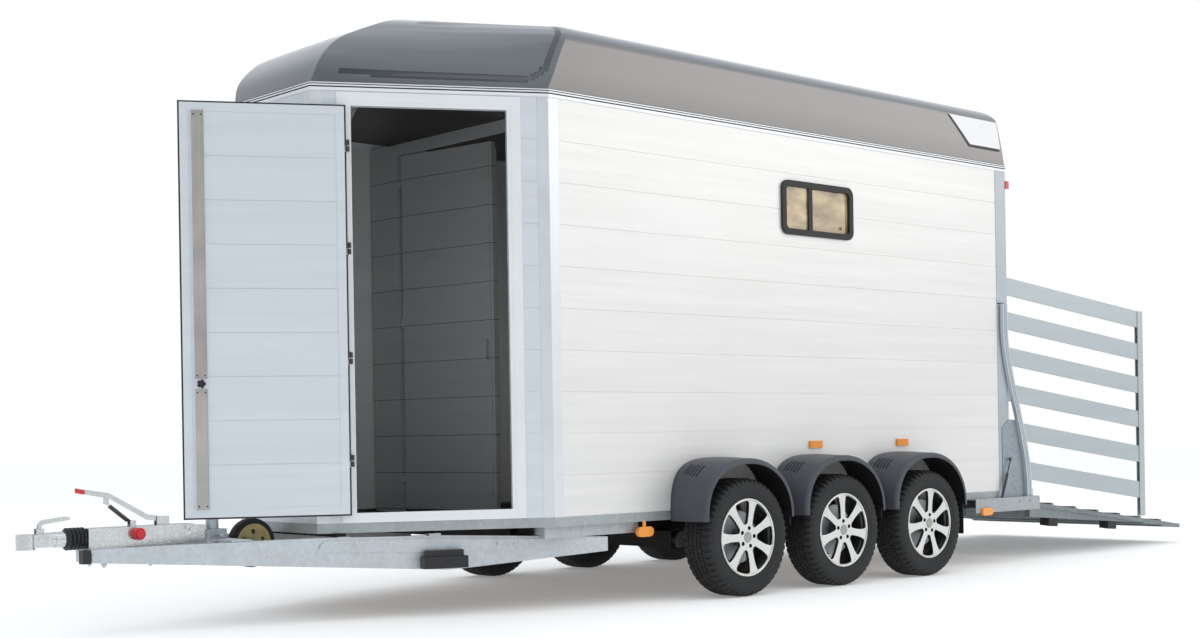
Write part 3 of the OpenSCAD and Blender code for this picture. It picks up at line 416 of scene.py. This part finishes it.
def plate(loops, thick, bevel, face_y):
    """A flat pierced plate in the XZ plane from closed loops, its face towards -Y, edges rounded.

    Its face has material 0 and the rest material 1."""
    cu = bpy.data.curves.new("tmp", "CURVE")
    cu.dimensions = "2D"
    cu.fill_mode = "BOTH"
    cu.extrude = thick / 2 - bevel
    cu.bevel_depth = bevel
    cu.bevel_resolution = 1
    cu.offset = -bevel
    for lp in loops:
        s = cu.splines.new("POLY")
        s.points.add(len(lp) - 1)
        for p, (x, z) in zip(s.points, lp):
            p.co = (x, z, 0, 1)
        s.use_cyclic_u = True
    o = bpy.data.objects.new("tmp", cu)
    bpy.context.collection.objects.link(o)
    dg = bpy.context.evaluated_depsgraph_get()
    me = bpy.data.meshes.new_from_object(o.evaluated_get(dg))
    V = [(v.co.x, face_y + thick / 2 - v.co.z, v.co.y) for v in me.vertices]
    F = [tuple(p.vertices) for p in me.polygons]
    M = [0 if p.normal.z > 0.5 else 1 for p in me.polygons]
    bpy.data.objects.remove(o)
    bpy.data.curves.remove(cu)
    bpy.data.meshes.remove(me)
    return V, F, M


def circle(r, n, cx=0.0, cz=0.0):
    turns = [2 * math.pi * i / n for i in range(n)]
    return [(cx + r * math.cos(a), cz + r * math.sin(a)) for a in turns]


# ---------------------------------------------------------------- wheels
TYRE_R, TYRE_Y = 0.315, 1.0535
AXLES = [1.160, 1.957, 2.754]
BLOCKS, PER = 52, 6             # tread blocks round the tyre, and columns in each
GROOVE, SIPE = 0.0075, 0.0060   # depth of the grooves round the tread and of the cuts across
TYRE_TURN, RIM_TURN = (4, -21, 9), (13, -3, 6)
SPOKES, BOLTS, BOLT_R = 7, 5, 0.050


def tyre_parts(flip):
    """A tyre about its own centre, its outer side to -Y, or to +Y where flip is set."""
    side = [(0.2003, 0.0840), (0.2084, 0.0842), (0.2120, 0.0930), (0.2200, 0.0965), (0.2215, 0.0950),
            (0.2360, 0.0985), (0.2375, 0.1000), (0.2620, 0.1022), (0.2760, 0.1010), (0.2775, 0.0995)]
    lug = [(0.2860, 0.0990), (0.2950, 0.0965), (0.3040, 0.0890), (0.3110, 0.0790), (0.3138, 0.0700)]
    tread = [0.0560]
    for g in (0.0440, 0.0150, -0.0150, -0.0440):
        tread += [g + 0.0045, g + 0.0030, g - 0.0030, g - 0.0045]
    tread += [-0.0560]
    prof = [(r, -y) for r, y in side + lug]
    prof += [(TYRE_R, -y) for y in tread]
    prof += [(r, y) for r, y in reversed(side + lug)]
    n_side, n_lug, n_tread = len(side), len(lug), len(tread)
    inner = [(0.2003, 0.0680), (0.2120, 0.0700), (0.2450, 0.0890), (0.2800, 0.0850), (0.2970, 0.0600),
             (0.2970, -0.0600), (0.2800, -0.0850), (0.2450, -0.0890), (0.2120, -0.0700), (0.2003, -0.0680)]
    prof += inner
    t0 = n_side + n_lug

    def shape(j, r, y, i):
        row = j - t0
        if n_side <= j < t0 or t0 + n_tread <= j < t0 + n_tread + n_lug:
            column = i + (0 if j < t0 else PER // 2)
            if column % PER in (0, 1):
                depth = (r - 0.280) / 0.035 * 0.0115
                return r - depth, y * (1 - 0.012)
            if column // PER % 2 and r < 0.30:
                return r, y * 0.985
        if 0 <= row < n_tread:
            g = row - 1
            if 0 <= g < 16 and g % 4 in (1, 2):
                return r - GROOVE, y
            rib = (row + 2) // 4
            k = (i + rib * 3 + (1 if y > 0 else 0)) % PER
            if k == 0 or (rib in (1, 2, 3) and k == 3 and (i // PER) % 2):
                return r - SIPE, y
        return r, y

    V, F = lathe(prof, BLOCKS * PER, shape)
    s = -1 if flip else 1
    return [(x, s * y, z) for x, y, z in V], F


def rim_parts(flip):
    """An alloy rim: a spoked star, the barrel, the hub, the cap and the bolts, with its materials."""
    loops = [circle(0.1983, 112)]
    for k in range(SPOKES):
        a0 = math.pi / 2 + 2 * math.pi * (k + 0.5) / SPOKES
        half = math.pi / SPOKES
        right, left = [], []
        for r in (0.0720, 0.0760, 0.0850, 0.1000, 0.1150, 0.1300, 0.1450, 0.1600,
                  0.1740, 0.1850, 0.1915):
            w = 0.0200 + (0.0115 * ((r - 0.115) / 0.0765) ** 2 if r > 0.115 else 0.0)
            g = half - math.asin(w / r)
            g *= 0.55 if r < 0.0750 else 0.92 if r > 0.1900 else 1.0
            right.append((r, a0 - g))
            left.append((r, a0 + g))
        g = left[-1][1] - a0
        arc = [(0.1940, a0 - g * 0.9 + 1.8 * g * i / 7) for i in range(8)]
        lp = [(0.0695, a0)] + right + arc + left[::-1]
        loops.append([(r * math.cos(a), r * math.sin(a)) for r, a in lp])
    bolts = [(BOLT_R * math.cos(a), BOLT_R * math.sin(a))
             for a in [math.pi / 2 + 2 * math.pi * k / BOLTS for k in range(BOLTS)]]
    for x0, z0 in bolts:
        loops.append(circle(0.0110, 20, x0, z0))
    loops.append(circle(0.0285, 40))
    star = plate(loops, 0.020, 0.0014, -0.0900)
    barrel = [(0.2068, -0.0935), (0.2080, -0.0915), (0.2076, -0.0880), (0.2008, -0.0850), (0.2003, -0.0700),
              (0.1935, -0.0550), (0.1900, -0.0300), (0.1900, 0.0400), (0.1935, 0.0600), (0.2003, 0.0720),
              (0.2006, 0.0850), (0.2076, 0.0880), (0.2080, 0.0920), (0.2060, 0.0935), (0.1980, 0.0880),
              (0.1900, 0.0700), (0.1860, 0.0400), (0.1860, -0.0500), (0.1930, -0.0640), (0.1984, -0.0700),
              (0.1985, -0.0905), (0.2000, -0.0925), (0.2035, -0.0938)]
    V, F = lathe(barrel, 112)
    bright = (0, 1, 20, 21, 22)     # the barrel's rows on its visible lip
    M = [0 if (p % len(barrel)) in bright else 1 for p in range(len(F))]
    hub = lathe([(0.0680, -0.0695), (0.0650, -0.0560), (0.0560, -0.0300), (0.0270, -0.0300),
                 (0.0270, -0.0695)], 56)
    cap = lathe([(0.0280, -0.0720), (0.0280, -0.0900), (0.0262, -0.0925), (0.0215, -0.0930),
                 (0.0205, -0.0915), (0.0100, -0.0918), (0.0004, -0.0919), (0.0004, -0.0720)], 48)
    parts = [star, (V, F, M), (hub[0], hub[1], 1), (cap[0], cap[1], 2)]
    bolt = lathe([(0.0004, -0.0790), (0.0055, -0.0790), (0.0070, -0.0775), (0.0070, -0.0695),
                  (0.0004, -0.0695)], 6)
    for x0, z0 in bolts:
        parts.append(([(x + x0, y, z + z0) for x, y, z in bolt[0]], bolt[1], 1))
    V, F, M = join(parts)
    s = -1 if flip else 1
    return [(x, s * y, z) for x, y, z in V], F, M


def wheels():
    for tag, flip in (("l", False), ("r", True)):
        tv, tf = tyre_parts(flip)
        rv, rf, rm = rim_parts(flip)
        for i, x in enumerate(AXLES):
            c = W(x, TYRE_Y * (1 if flip else -1), TYRE_R)
            end = "%s%d" % (tag, i + 1)
            turn = Matrix.Rotation(R(TYRE_TURN[i]), 3, "Y")
            me = mesh("tyre_mesh_" + end, [turn @ Vector(v) + c for v in tv], tf)
            obj("tread_tyre_" + end, me, "wheel_" + end, ["tyre"], smooth=28,
                replaces=("tyre_" + end,))
            turn = Matrix.Rotation(R(RIM_TURN[i]), 3, "Y")
            me = mesh("rim_mesh_" + end, [turn @ Vector(v) + c for v in rv], rf, rm)
            obj("alloy_rim_" + end, me, "wheel_" + end,
                ["alloy", "pocket_black", "cap_grey", "zinc_plated"],
                smooth=30, replaces=("rim_" + end,))


# ---------------------------------------------------------------- roof
# the roof's levels: height, inset from the side wall, and x where the side begins, of the nose
# and of the rear
LV = [(2.5852, 0.002, 0.000, -1.0096, 3.928), (2.679, 0.008, 0.050, -0.980, 3.916),
      (2.749, 0.015, 0.085, -0.930, 3.906), (2.815, 0.023, 0.120, -0.852, 3.897),
      (2.870, 0.032, 0.152, -0.741, 3.888), (2.900, 0.050, 0.170, -0.670, 3.876),
      (2.930, 0.090, 0.195, -0.600, 3.858), (2.958, 0.160, 0.225, -0.525, 3.834),
      (2.984, 0.262, 0.275, -0.430, 3.800), (3.008, 0.395, 0.340, -0.310, 3.750),
      (3.027, 0.545, 0.440, -0.150, 3.680), (3.0395, 0.760, 0.640, 0.080, 3.590)]


def spline(pts, m):
    """Smooth rows between the given rows, m to each step."""
    out = []
    for i in range(len(pts) - 1):
        p0, p1, p2, p3 = pts[max(i - 1, 0)], pts[i], pts[i + 1], pts[min(i + 2, len(pts) - 1)]
        for k in range(m):
            t = k / m
            out.append([0.5 * (2 * b + (c - a) * t + (2 * a - 5 * b + 4 * c - d) * t * t
                               + (3 * b - a - 3 * c + d) * t ** 3) for a, b, c, d in zip(p0, p1, p2, p3)])
    return out + [list(pts[-1])]


def step(a, b, x):
    """0 below a and 1 above b, with a smooth rise between."""
    t = min(1, max(0, (x - a) / (b - a)))
    return t * t * (3 - 2 * t)


PANEL_Z = 2.618                 # lower edge of the recess over the nose panel
RECESS, RECESS_RAD = 0.016, 0.11


def roof():
    """The moulded roof as one skin with the recess above the entrance, thickened inward."""
    full = []
    for z, d, xs, xn, xr in LV:
        w = NHW + (0.026 if z > 2.595 else 0)
        n = min(w - min(0.4 * NHW, 0.35 * d), HW - d - 0.02)
        full.append((z, d, xs, xn, xr, n))
    rows = spline(full, 8)
    n_side, n_nose, n_front, n_rear = 14, 72, 10, 8
    V, tags = [], []
    for z, d, xs, xn, xr, n in rows:
        y1 = HW - d
        loop, tag = [], []

        def run(a, b, k, kind):
            for i in range(k):
                t = i / k
                loop.append((a[0] + (b[0] - a[0]) * t, a[1] + (b[1] - a[1]) * t))
                tag.append((kind, t))

        run((xr, -y1), (xs, -y1), n_side, "side")
        run((xs, -y1), (xn, -n), n_nose, "nose_l")
        run((xn, -n), (xn, n), n_front, "front")
        run((xn, n), (xs, y1), n_nose, "nose_r")
        run((xs, y1), (xr, y1), n_side, "side")
        run((xr, y1), (xr, -y1), n_rear, "rear")
        for (x, y), (kind, t) in zip(loop, tag):
            g = 0.0
            if kind in ("nose_l", "nose_r"):
                s = t if kind == "nose_l" else 1 - t
                fade = 1 - step(2.93, 3.0, z)
                a, b, rad = s * NOSE_LEN - 0.030, z - PANEL_Z, RECESS_RAD
                inside = rad - math.hypot(rad - a, rad - b) if a < rad and b < rad else min(a, b)
                g = RECESS * step(0.0, 0.034, inside) * (1 - step(0.55, 1.0, s)) * fade
                sy = -1 if kind == "nose_l" else 1
                x += g * 0.49
                y -= g * 0.87 * sy
            bow = 0.006 * math.sin(math.pi * t) if kind == "front" else 0.0
            V.append(W(x - bow, y, z))
            tags.append((kind, g))
    k = 2 * (n_side + n_nose) + n_front + n_rear
    F, M = [], []
    for j in range(len(rows) - 1):
        for i in range(k):
            a, b = j * k + i, j * k + (i + 1) % k
            F.append((a, b, b + k, a + k))
            g = [tags[q][1] for q in (a, b, b + k, a + k)]
            kind = tags[a][0]
            # the recess's edge faces get painted shade (material 1)
            edge = kind.startswith("nose") and max(g) - min(g) > 0.0009 and max(g) > 0.0018
            M.append(1 if edge else 0 if kind in ("side", "rear") else 2)
    top = (len(rows) - 1) * k
    c = len(V)
    V.append(sum((V[top + i] for i in range(k)), Vector()) / k)
    V[c].z = V[top].z + 0.0004
    for i in range(k):
        F.append((top + i, top + (i + 1) % k, c))
        M.append(0)
    # material 2 over the nose is the painted-shade copy of the roof colours
    o = obj("roof_skin", mesh("roof", V, F, M), BODY, ["roof_polyester", "recess_painted_shade", "roof_nose"],
            smooth=17, replaces=("roof_shell",))
    sol = o.modifiers.new("thickness", "SOLIDIFY")
    sol.thickness = 0.010
    sol.offset = -1


# the mark's layers: name, material, how far it stands off the roof, and its corners (x, z)
MARK = (("border", "black_plastic", 0.0010,
         ((3.350, 2.862), (3.868, 2.862), (3.885, 2.672), (3.545, 2.672))),
        ("face", "mark_silver", 0.0018,
         ((3.372, 2.866), (3.880, 2.866), (3.893, 2.690), (3.560, 2.690))))


def panel_mark():
    """The pale trapezoid at the rear of the roof sides, with its dark border, without lettering."""
    prof = spline([(z, d) for z, d, *_ in LV], 5)

    def inset(z):
        for (z0, d0), (z1, d1) in zip(prof, prof[1:]):
            if z0 <= z <= z1:
                return d0 + (d1 - d0) * (z - z0) / (z1 - z0)
        return 0.03

    for sy, side in ((-1, "left"), (1, "right")):
        for name, m, off, (a, b, c, d) in MARK:
            n, k = 10, 10
            V, F = [], []
            for layer in (0, 1):
                for j in range(k + 1):
                    for i in range(n + 1):
                        u, v = i / n, j / k
                        x = (a[0] * (1 - u) + b[0] * u) * (1 - v) + (d[0] * (1 - u) + c[0] * u) * v
                        z = (a[1] * (1 - u) + b[1] * u) * (1 - v) + (d[1] * (1 - u) + c[1] * u) * v
                        y = HW - inset(z) + (off if layer else 0.0002)
                        V.append(W(x, sy * y, z))
            w = n + 1
            L = w * (k + 1)
            for j in range(k):
                for i in range(n):
                    p = j * w + i
                    F.append((p, p + 1, p + 1 + w, p + w))
                    F.append((L + p, L + p + w, L + p + 1 + w, L + p + 1))
            ring = list(range(n)) + [n + w * j for j in range(k)]
            ring += [w * k + n - i for i in range(n)] + [w * (k - j) for j in range(k)]
            for i in range(len(ring)):
                p, q2 = ring[i], ring[(i + 1) % len(ring)]
                F.append((p, q2, q2 + L, p + L))
            me = mesh("mark_%s" % name, V, F)
            obj("roof_mark_%s_%s" % (name, side), me, BODY, [m], smooth=30)


# ---------------------------------------------------------------- fenders
FEN_A, FEN_TOP = 0.354, 0.742   # half length, and height of the crown
FEN_Z0, FEN_Z1 = 0.412, 0.420   # lower edge, and where the arch begins
SLOTS, SLOT_PITCH = 5, 0.020
SLOT_FROM, SLOT_TO, SLOT_DEPTH = -52, -34, 0.0090    # vent slots, in degrees along the arch


def fender(side, i):
    """The shell over one wheel. Its CAD solid, with all three of the side, goes with the first."""
    sy = 1 if side == "right" else -1
    cx = AXLES[i]
    # columns across the fender, from the wall to the lip
    wall, lip = HW + 0.0004, 1.174
    cols = [wall, wall + 0.03]
    slots = []
    for k in range(SLOTS):
        s0 = HW + 0.052 + k * SLOT_PITCH
        cols += [s0 - 0.0012, s0 + 0.0012, s0 + 0.0045, s0 + 0.0078, s0 + 0.0102]
        slots.append((s0 + 0.0005, s0 + 0.0085))
    cols += [1.080, 1.100, 1.116, 1.130, 1.142, 1.152]
    roll = [(1.160, 0.0015), (1.166, 0.0045), (1.1705, 0.0095), (1.1730, 0.0155), (lip, 0.0220),
            (1.1735, 0.0300), (1.1720, 0.0310)]
    us = sorted([-90 + 180 * t / 60 for t in range(61)]
                + [v + e for v in (SLOT_FROM, SLOT_TO) for e in (-0.5, 0.5)])

    def pt(u, y, down=0.0):
        f = step(HW + 0.02, 1.16, y)
        n = (3.3 - 0.9 * f) if u < 0 else (2.7 - 0.6 * f)
        a = FEN_A - down
        top = FEN_TOP - 0.006 * f - FEN_Z1 - down
        au = abs(R(90 - abs(u)))
        x = a * abs(math.cos(au)) ** (2 / n) * (-1 if u < 0 else 1)
        z = FEN_Z1 + top * abs(math.sin(au)) ** (2 / n)
        return x, z

    def row(u):
        out = []
        for y in cols:
            dn = 0.0
            if SLOT_FROM <= u <= SLOT_TO and any(a <= y <= b for a, b in slots):
                dn = SLOT_DEPTH
            x, z = pt(u, y, dn)
            out.append((x, y, z))
        for y, dn in roll:
            x, z = pt(u, 1.16, dn)
            out.append((x, y, z))
        return out

    def foot(u):
        return [(x, y, FEN_Z0) for x, y, z in row(u)]

    rows = [foot(us[0])] + [row(u) for u in us] + [foot(us[-1])]
    k = len(rows[0])
    V = [W(cx + x, sy * y, z) for r in rows for x, y, z in r]
    F = []
    for j in range(len(rows) - 1):
        for q in range(k - 1):
            a = j * k + q
            F.append((a, a + 1, a + k + 1, a + k))
    me = mesh("fender", V, F)
    # the vent slots' faces get painted shade (material 1)
    for p in me.polygons:
        j, q = divmod(p.index, k - 1)
        y = cols[min(q, len(cols) - 1)]
        if 1 < j < len(us) and SLOT_FROM <= us[j - 1] <= SLOT_TO and any(a <= y <= b for a, b in slots):
            p.material_index = 1
    return obj("fender_%s_%d" % (side, i + 1), me, BODY, ["fender_plastic", "painted_shade_black"],
               smooth=38, replaces=("fenders_%s" % side,) if i == 0 else ())


FLAP_X = (0.3445, 0.3495)       # front and back of a mudflap, from its axle
FLAP_Z, FLAP_Z_REAR = 0.362, 0.234


def fenders():
    """The six shells with their thickness, painted shade inside, and a mudflap each."""
    for side in ("left", "right"):
        sy = 1 if side == "right" else -1
        for i in range(3):
            sol = fender(side, i).modifiers.new("thickness", "SOLIDIFY")
            sol.thickness = 0.004
            sol.offset = -1
            # the inside of the shell gets painted shade
            sol.material_offset = 1
            sol.material_offset_rim = 0
            # mudflap behind the wheel, hung from the shell with a thinner lower edge
            z1 = FLAP_Z_REAR if i == 2 else FLAP_Z
            V, F = [], []
            zs = [0.440, 0.420, 0.400, z1 + 0.012, z1 + 0.004, z1]
            for z in zs:
                g = 0.0015 if z < z1 + 0.006 else 0.0
                for y in (0.9800, 1.0000, 1.1000, 1.1400):
                    V.append(W(AXLES[i] + FLAP_X[0] + g, sy * y, z))
                    V.append(W(AXLES[i] + FLAP_X[1] - g, sy * y, z))
            k = 8
            for j in range(len(zs) - 1):
                for q in range(3):
                    a = j * k + q * 2
                    F.append((a, a + 2, a + 2 + k, a + k))
                    F.append((a + 1, a + 1 + k, a + 3 + k, a + 3))
                F.append((j * k, j * k + k, j * k + k + 1, j * k + 1))
                F.append((j * k + 6, j * k + 7, j * k + k + 7, j * k + k + 6))
            for q in range(3):
                a, b = q * 2, (len(zs) - 1) * k + q * 2
                F.append((a, a + 1, a + 3, a + 2))
                F.append((b, b + 2, b + 3, b + 1))
            obj("mudflap_%s_%d" % (side, i + 1), mesh("mudflap", V, F), BODY, ["black_plastic"],
                smooth=35)


# ---------------------------------------------------------------- small pieces
def sleeve(name, path, hy, body, mats, n=16):
    """A closed rounded tube along rows (x, z middle, half height, fraction of its half width hy)."""
    V, F = [], []
    for x, z, hz, k in path:
        for i in range(n):
            a = 2 * math.pi * i / n
            c, q = math.cos(a), math.sin(a)
            y = hy * k * abs(c) ** 0.6 * (1 if c > 0 else -1)
            V.append(W(x, y, z + hz * k * abs(q) ** 0.6 * (1 if q > 0 else -1)))
    for j in range(len(path) - 1):
        for i in range(n):
            a, b = j * n + i, j * n + (i + 1) % n
            F.append((a, b, b + n, a + n))
    F.append(tuple(range(n)))
    F.append(tuple(range((len(path) - 1) * n, len(path) * n)))
    return obj(name, mesh(name, V, F), body, mats, smooth=40)


def jockey_wheel():
    """Rubber tyre, pressed yellow rim of two pierced plates, and a bright hub."""
    lo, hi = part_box("jockey_wheel")
    c = (lo + hi) / 2
    r, w = (hi.x - lo.x) / 2, (hi.y - lo.y) / 2
    h = min(w, 0.030)               # half the tyre's width
    tyre = lathe([(r - 0.030, -h * 0.9), (r - 0.012, -h), (r - 0.003, -h * 0.75), (r, -h * 0.3),
                  (r, h * 0.3), (r - 0.003, h * 0.75), (r - 0.012, h), (r - 0.030, h * 0.9)], 64)
    lip = lathe([(r - 0.0295, -h * 0.9), (r - 0.027, -h * 0.97), (r - 0.033, -h * 0.99),
                 (r - 0.040, -h * 0.60), (r - 0.040, h * 0.60), (r - 0.033, h * 0.99),
                 (r - 0.027, h * 0.97), (r - 0.0295, h * 0.9)], 64)
    parts = [(tyre[0], tyre[1], 0), (lip[0], lip[1], 1)]
    holes = [2 * math.pi * k / 5 + 0.3 for k in range(5)]
    for fy in (-h * 0.62, h * 0.45):
        loops = [circle(r - 0.038, 56), circle(0.0150, 24)]
        loops += [circle(0.0125, 20, 0.054 * math.cos(a), 0.054 * math.sin(a)) for a in holes]
        v, f, _ = plate(loops, 0.004, 0.0008, fy)
        parts.append((v, f, 1))
    hub = lathe([(0.0105, -w), (0.0170, -w), (0.0190, -w + 0.006), (0.0190, w - 0.006),
                 (0.0170, w), (0.0105, w)], 32)
    parts.append((hub[0], hub[1], 2))
    V, F, M = join(parts)
    obj("jockey_roller_wheel", mesh("jockey_roller", [Vector(v) + c for v in V], F, M),
        "jockey_roller", ["tyre", "yellow_zinc", "zinc_plated"],
        smooth=35, replaces=("jockey_wheel",))


def handbrake_grip():
    """The red grip on the lever's end."""
    grip = [(-2.0612, 0.6580, 0.0105, 0.72), (-2.0605, 0.6580, 0.0115, 1.0),
            (-2.0400, 0.6540, 0.0120, 1.0), (-2.0230, 0.6512, 0.0122, 1.0),
            (-2.0215, 0.6510, 0.0118, 0.9)]
    sleeve("handbrake_grip", grip, 0.0105, "handbrake", ["red_plastic"])


def NF(s, y, z):
    """A point on the left nose panel's own axes: s along it from the nose, y inward."""
    c, q = math.cos(NANG), math.sin(NANG)
    return W(-NDX + s * c + y * q, -NHW - s * q + y * c, z)


def extrude_z(name, section, zs, body, mats):
    """A closed (s, y) section on the nose panel, drawn up through the heights zs and capped."""
    n = len(section)
    V = [NF(s, y, z) for z in zs for s, y in section]
    F = [(j * n + i, j * n + (i + 1) % n, (j + 1) * n + (i + 1) % n, (j + 1) * n + i)
         for j in range(len(zs) - 1) for i in range(n)]
    F += [tuple(range(n)), tuple(range((len(zs) - 1) * n, len(zs) * n))]
    return obj(name, mesh(name, V, F), body, mats, smooth=30)


# the entrance door's hinge line on the nose panel's axes, the leaf's size, and its hinges
HIN_S, HIN_Y, LEAF_W, LEAF_Z0, LEAF_H = 0.172, -0.024, 0.791, 0.505, 1.966
HIN_Z = [LEAF_Z0 + 0.232, LEAF_Z0 + 0.724, LEAF_Z0 + 1.250, LEAF_Z0 + 1.742]


def door_details():
    """The channel over the locking rods, its screws, and a sleeve on each half of each hinge."""
    s0, s1 = HIN_S - LEAF_W + 0.0630, HIN_S - LEAF_W + 0.1190
    a, b, c = HIN_Y - 0.0262, HIN_Y - 0.0270, HIN_Y - 0.0285
    m = (s0 + s1) / 2
    sec = [(s0, a), (s0, c), (s0 + 0.002, c), (s0 + 0.003, b), (m - 0.004, b),
           (m - 0.003, b - 0.0008), (m + 0.003, b - 0.0008), (m + 0.004, b),
           (s1 - 0.003, b), (s1 - 0.002, c), (s1, c), (s1, a)]
    low = [LEAF_Z0 + 0.046, LEAF_Z0 + 0.080, 1.085, 1.118]
    high = [1.164, 1.200, 2.380, LEAF_Z0 + LEAF_H - 0.046]
    for name, zs in (("low", low), ("high", high)):
        extrude_z("latch_channel_" + name, sec, zs, "entrance_door", ["channel_steel"])
    screws = [(s, z) for z in (0.566, 1.10, 1.18, 2.405) for s in (s0 + 0.010, s1 - 0.010)]
    for k, (s, z) in enumerate(screws):
        V, F = lathe([(0.0002, 0), (0.0040, 0), (0.0040, 0.0012), (0.0028, 0.0024),
                      (0.0002, 0.0028)], 14)
        V = [NF(s + v[0], b - v[1], z + v[2]) for v in V]
        obj("channel_screw_%d" % k, mesh("screw", V, F), "entrance_door", ["black_steel"], smooth=40)
    for k, z in enumerate(HIN_Z):
        for part, body, dz in (("frame", BODY, 0.001), ("leaf", "entrance_door", 0.0314)):
            prof = [(0.00708, dz), (0.0080, dz), (0.0086, dz + 0.001), (0.0086, dz + 0.026),
                    (0.0080, dz + 0.027), (0.00708, dz + 0.027)]
            V, F = lathe(prof, 24)
            V = [NF(HIN_S + v[0], HIN_Y + v[2], z + v[1]) for v in V]
            obj("hinge_%s_%d" % (part, k + 1), mesh("hinge", V, F), body, ["black_steel"], smooth=40)


def outline_at(d):
    """The body's outline moved outward by d, from the left rear round the nose to the right rear."""
    pts = [(SIDE_LEN, -HW), (0, -HW), (-NDX, -NHW), (-NDX, NHW), (0, HW), (SIDE_LEN, HW)]
    nor = []
    for (x0, y0), (x1, y1) in zip(pts, pts[1:]):
        ll = math.hypot(x1 - x0, y1 - y0)
        nor.append((-(y1 - y0) / ll, (x1 - x0) / ll))
    out = []
    for i, (x, y) in enumerate(pts):
        a = nor[max(i - 1, 0)]
        b = nor[min(i, len(nor) - 1)]
        k = d / (1 + a[0] * b[0] + a[1] * b[1])
        out.append((x + (a[0] + b[0]) * k, y + (a[1] + b[1]) * k))
    return out


def eaves_inlays():
    """The two dark inlays in the grooves of the white eaves rail."""
    for name, z0, z1 in (("low", 2.5612, 2.5678), ("high", 2.5752, 2.5798)):
        rows = []
        section = ((0.0024, z0), (0.0042, z0), (0.0046, (z0 + z1) / 2), (0.0042, z1), (0.0024, z1))
        for d, z in section:
            rows.append([W(x, y, z) for x, y in outline_at(d)])
        k = len(rows[0])
        V = [v for r in rows for v in r]
        F = []
        m = len(section)
        for j in range(m):
            jn = (j + 1) % m
            for i in range(k - 1):
                F.append((j * k + i, j * k + i + 1, jn * k + i + 1, jn * k + i))
        F += [tuple(j * k for j in range(m)), tuple(j * k + k - 1 for j in range(m))]
        obj("eaves_inlay_%s" % name, mesh("inlay", V, F), BODY, ["black_rubber"])


door_details()
eaves_inlays()
jockey_wheel()
handbrake_grip()
wheels()
roof()
panel_mark()
fenders()

# ---------------------------------------------------------------- stage, light, camera
FLOOR_HALF, FLOOR_GLOW, SKY, CAMERA_SKY = 60, 0.22, 0.90, 1.0
SKY_STOPS = [(0.0, (0.36, 0.375, 0.39)), (0.10, (0.46, 0.475, 0.49)),
             (0.32, (0.90, 0.935, 0.97)), (0.75, (1.0, 1.04, 1.08))]


def floor():
    """A pale studio floor, faintly lit from itself so that it runs into the white background."""
    me = bpy.data.meshes.new("floor")
    s = FLOOR_HALF
    me.from_pydata([(-s, -s, 0), (s, -s, 0), (s, s, 0), (-s, s, 0)], [], [(0, 1, 2, 3)])
    o = bpy.data.objects.new("floor", me)
    bpy.context.collection.objects.link(o)
    m, nt, b, co = base("floor_paint", 0.0, spec=0.2)
    n = noise(nt, co, 0.8, 4)
    col = mixc(nt, n, (0.86, 0.86, 0.855), (0.92, 0.92, 0.915))
    nt.links.new(col, b.inputs["Base Color"])
    b.inputs["Roughness"].default_value = 0.8
    b.inputs["Emission Color"].default_value = (1, 1, 1, 1)
    b.inputs["Emission Strength"].default_value = FLOOR_GLOW
    me.materials.append(m)


floor()

world = bpy.data.worlds.new("studio")
bpy.context.scene.world = world
world.use_nodes = True
wnt = world.node_tree
soft = wnt.nodes["Background"]
dirs = wnt.nodes.new("ShaderNodeSeparateXYZ")
wnt.links.new(wnt.nodes.new("ShaderNodeTexCoord").outputs["Generated"], dirs.inputs[0])
wnt.links.new(ramp(wnt, dirs.outputs[2], SKY_STOPS), soft.inputs[0])
soft.inputs[1].default_value = SKY
# the camera itself sees plain white
white = nd(wnt, "ShaderNodeBackground", Strength=CAMERA_SKY)
white.inputs[0].default_value = (1, 1, 1, 1)
mix = wnt.nodes.new("ShaderNodeMixShader")
wnt.links.new(wnt.nodes.new("ShaderNodeLightPath").outputs["Is Camera Ray"], mix.inputs[0])
wnt.links.new(soft.outputs[0], mix.inputs[1])
wnt.links.new(white.outputs[0], mix.inputs[2])
wnt.links.new(mix.outputs[0], wnt.nodes["World Output"].inputs[0])


def area(name, loc, target, size, power, col):
    light = bpy.data.lights.new(name, "AREA")
    light.shape = "RECTANGLE"
    light.size, light.size_y = size
    light.energy = power
    light.color = col
    o = bpy.data.objects.new(name, light)
    bpy.context.collection.objects.link(o)
    o.location = loc
    o.rotation_euler = (Vector(target) - Vector(loc)).to_track_quat("-Z", "Y").to_euler()


area("key", W(9, -8.6, 5.6), W(2, 0, 1.6), (9, 6), 250, (1.0, 0.975, 0.94))
area("top", W(0, -1, 11), W(0, 0, 0), (12, 8), 150, (1, 1, 1))

# the camera that was fitted to the photograph
CAM_AT, CAM_YAW, CAM_ROLL = W(-5.3913, -7.1564, 0.8719), R(47.561), R(-0.933)
cam = bpy.data.cameras.new("camera")
cam.sensor_width = 36
cam.lens = 50.03
cam.shift_y = 0.0966
cam.clip_end = 300
camera = bpy.data.objects.new("camera", cam)
bpy.context.collection.objects.link(camera)
ahead = Vector((math.cos(CAM_YAW), math.sin(CAM_YAW), 0))
level = Vector((math.sin(CAM_YAW), -math.cos(CAM_YAW), 0))
up = Vector((0, 0, 1))
cam_x = math.cos(CAM_ROLL) * level + math.sin(CAM_ROLL) * up
cam_y = -math.sin(CAM_ROLL) * level + math.cos(CAM_ROLL) * up
place = Matrix((cam_x, cam_y, -ahead)).transposed().to_4x4()
place.translation = CAM_AT
camera.matrix_world = place
bpy.context.scene.camera = camera
bpy.context.scene.view_settings.view_transform = "Standard"
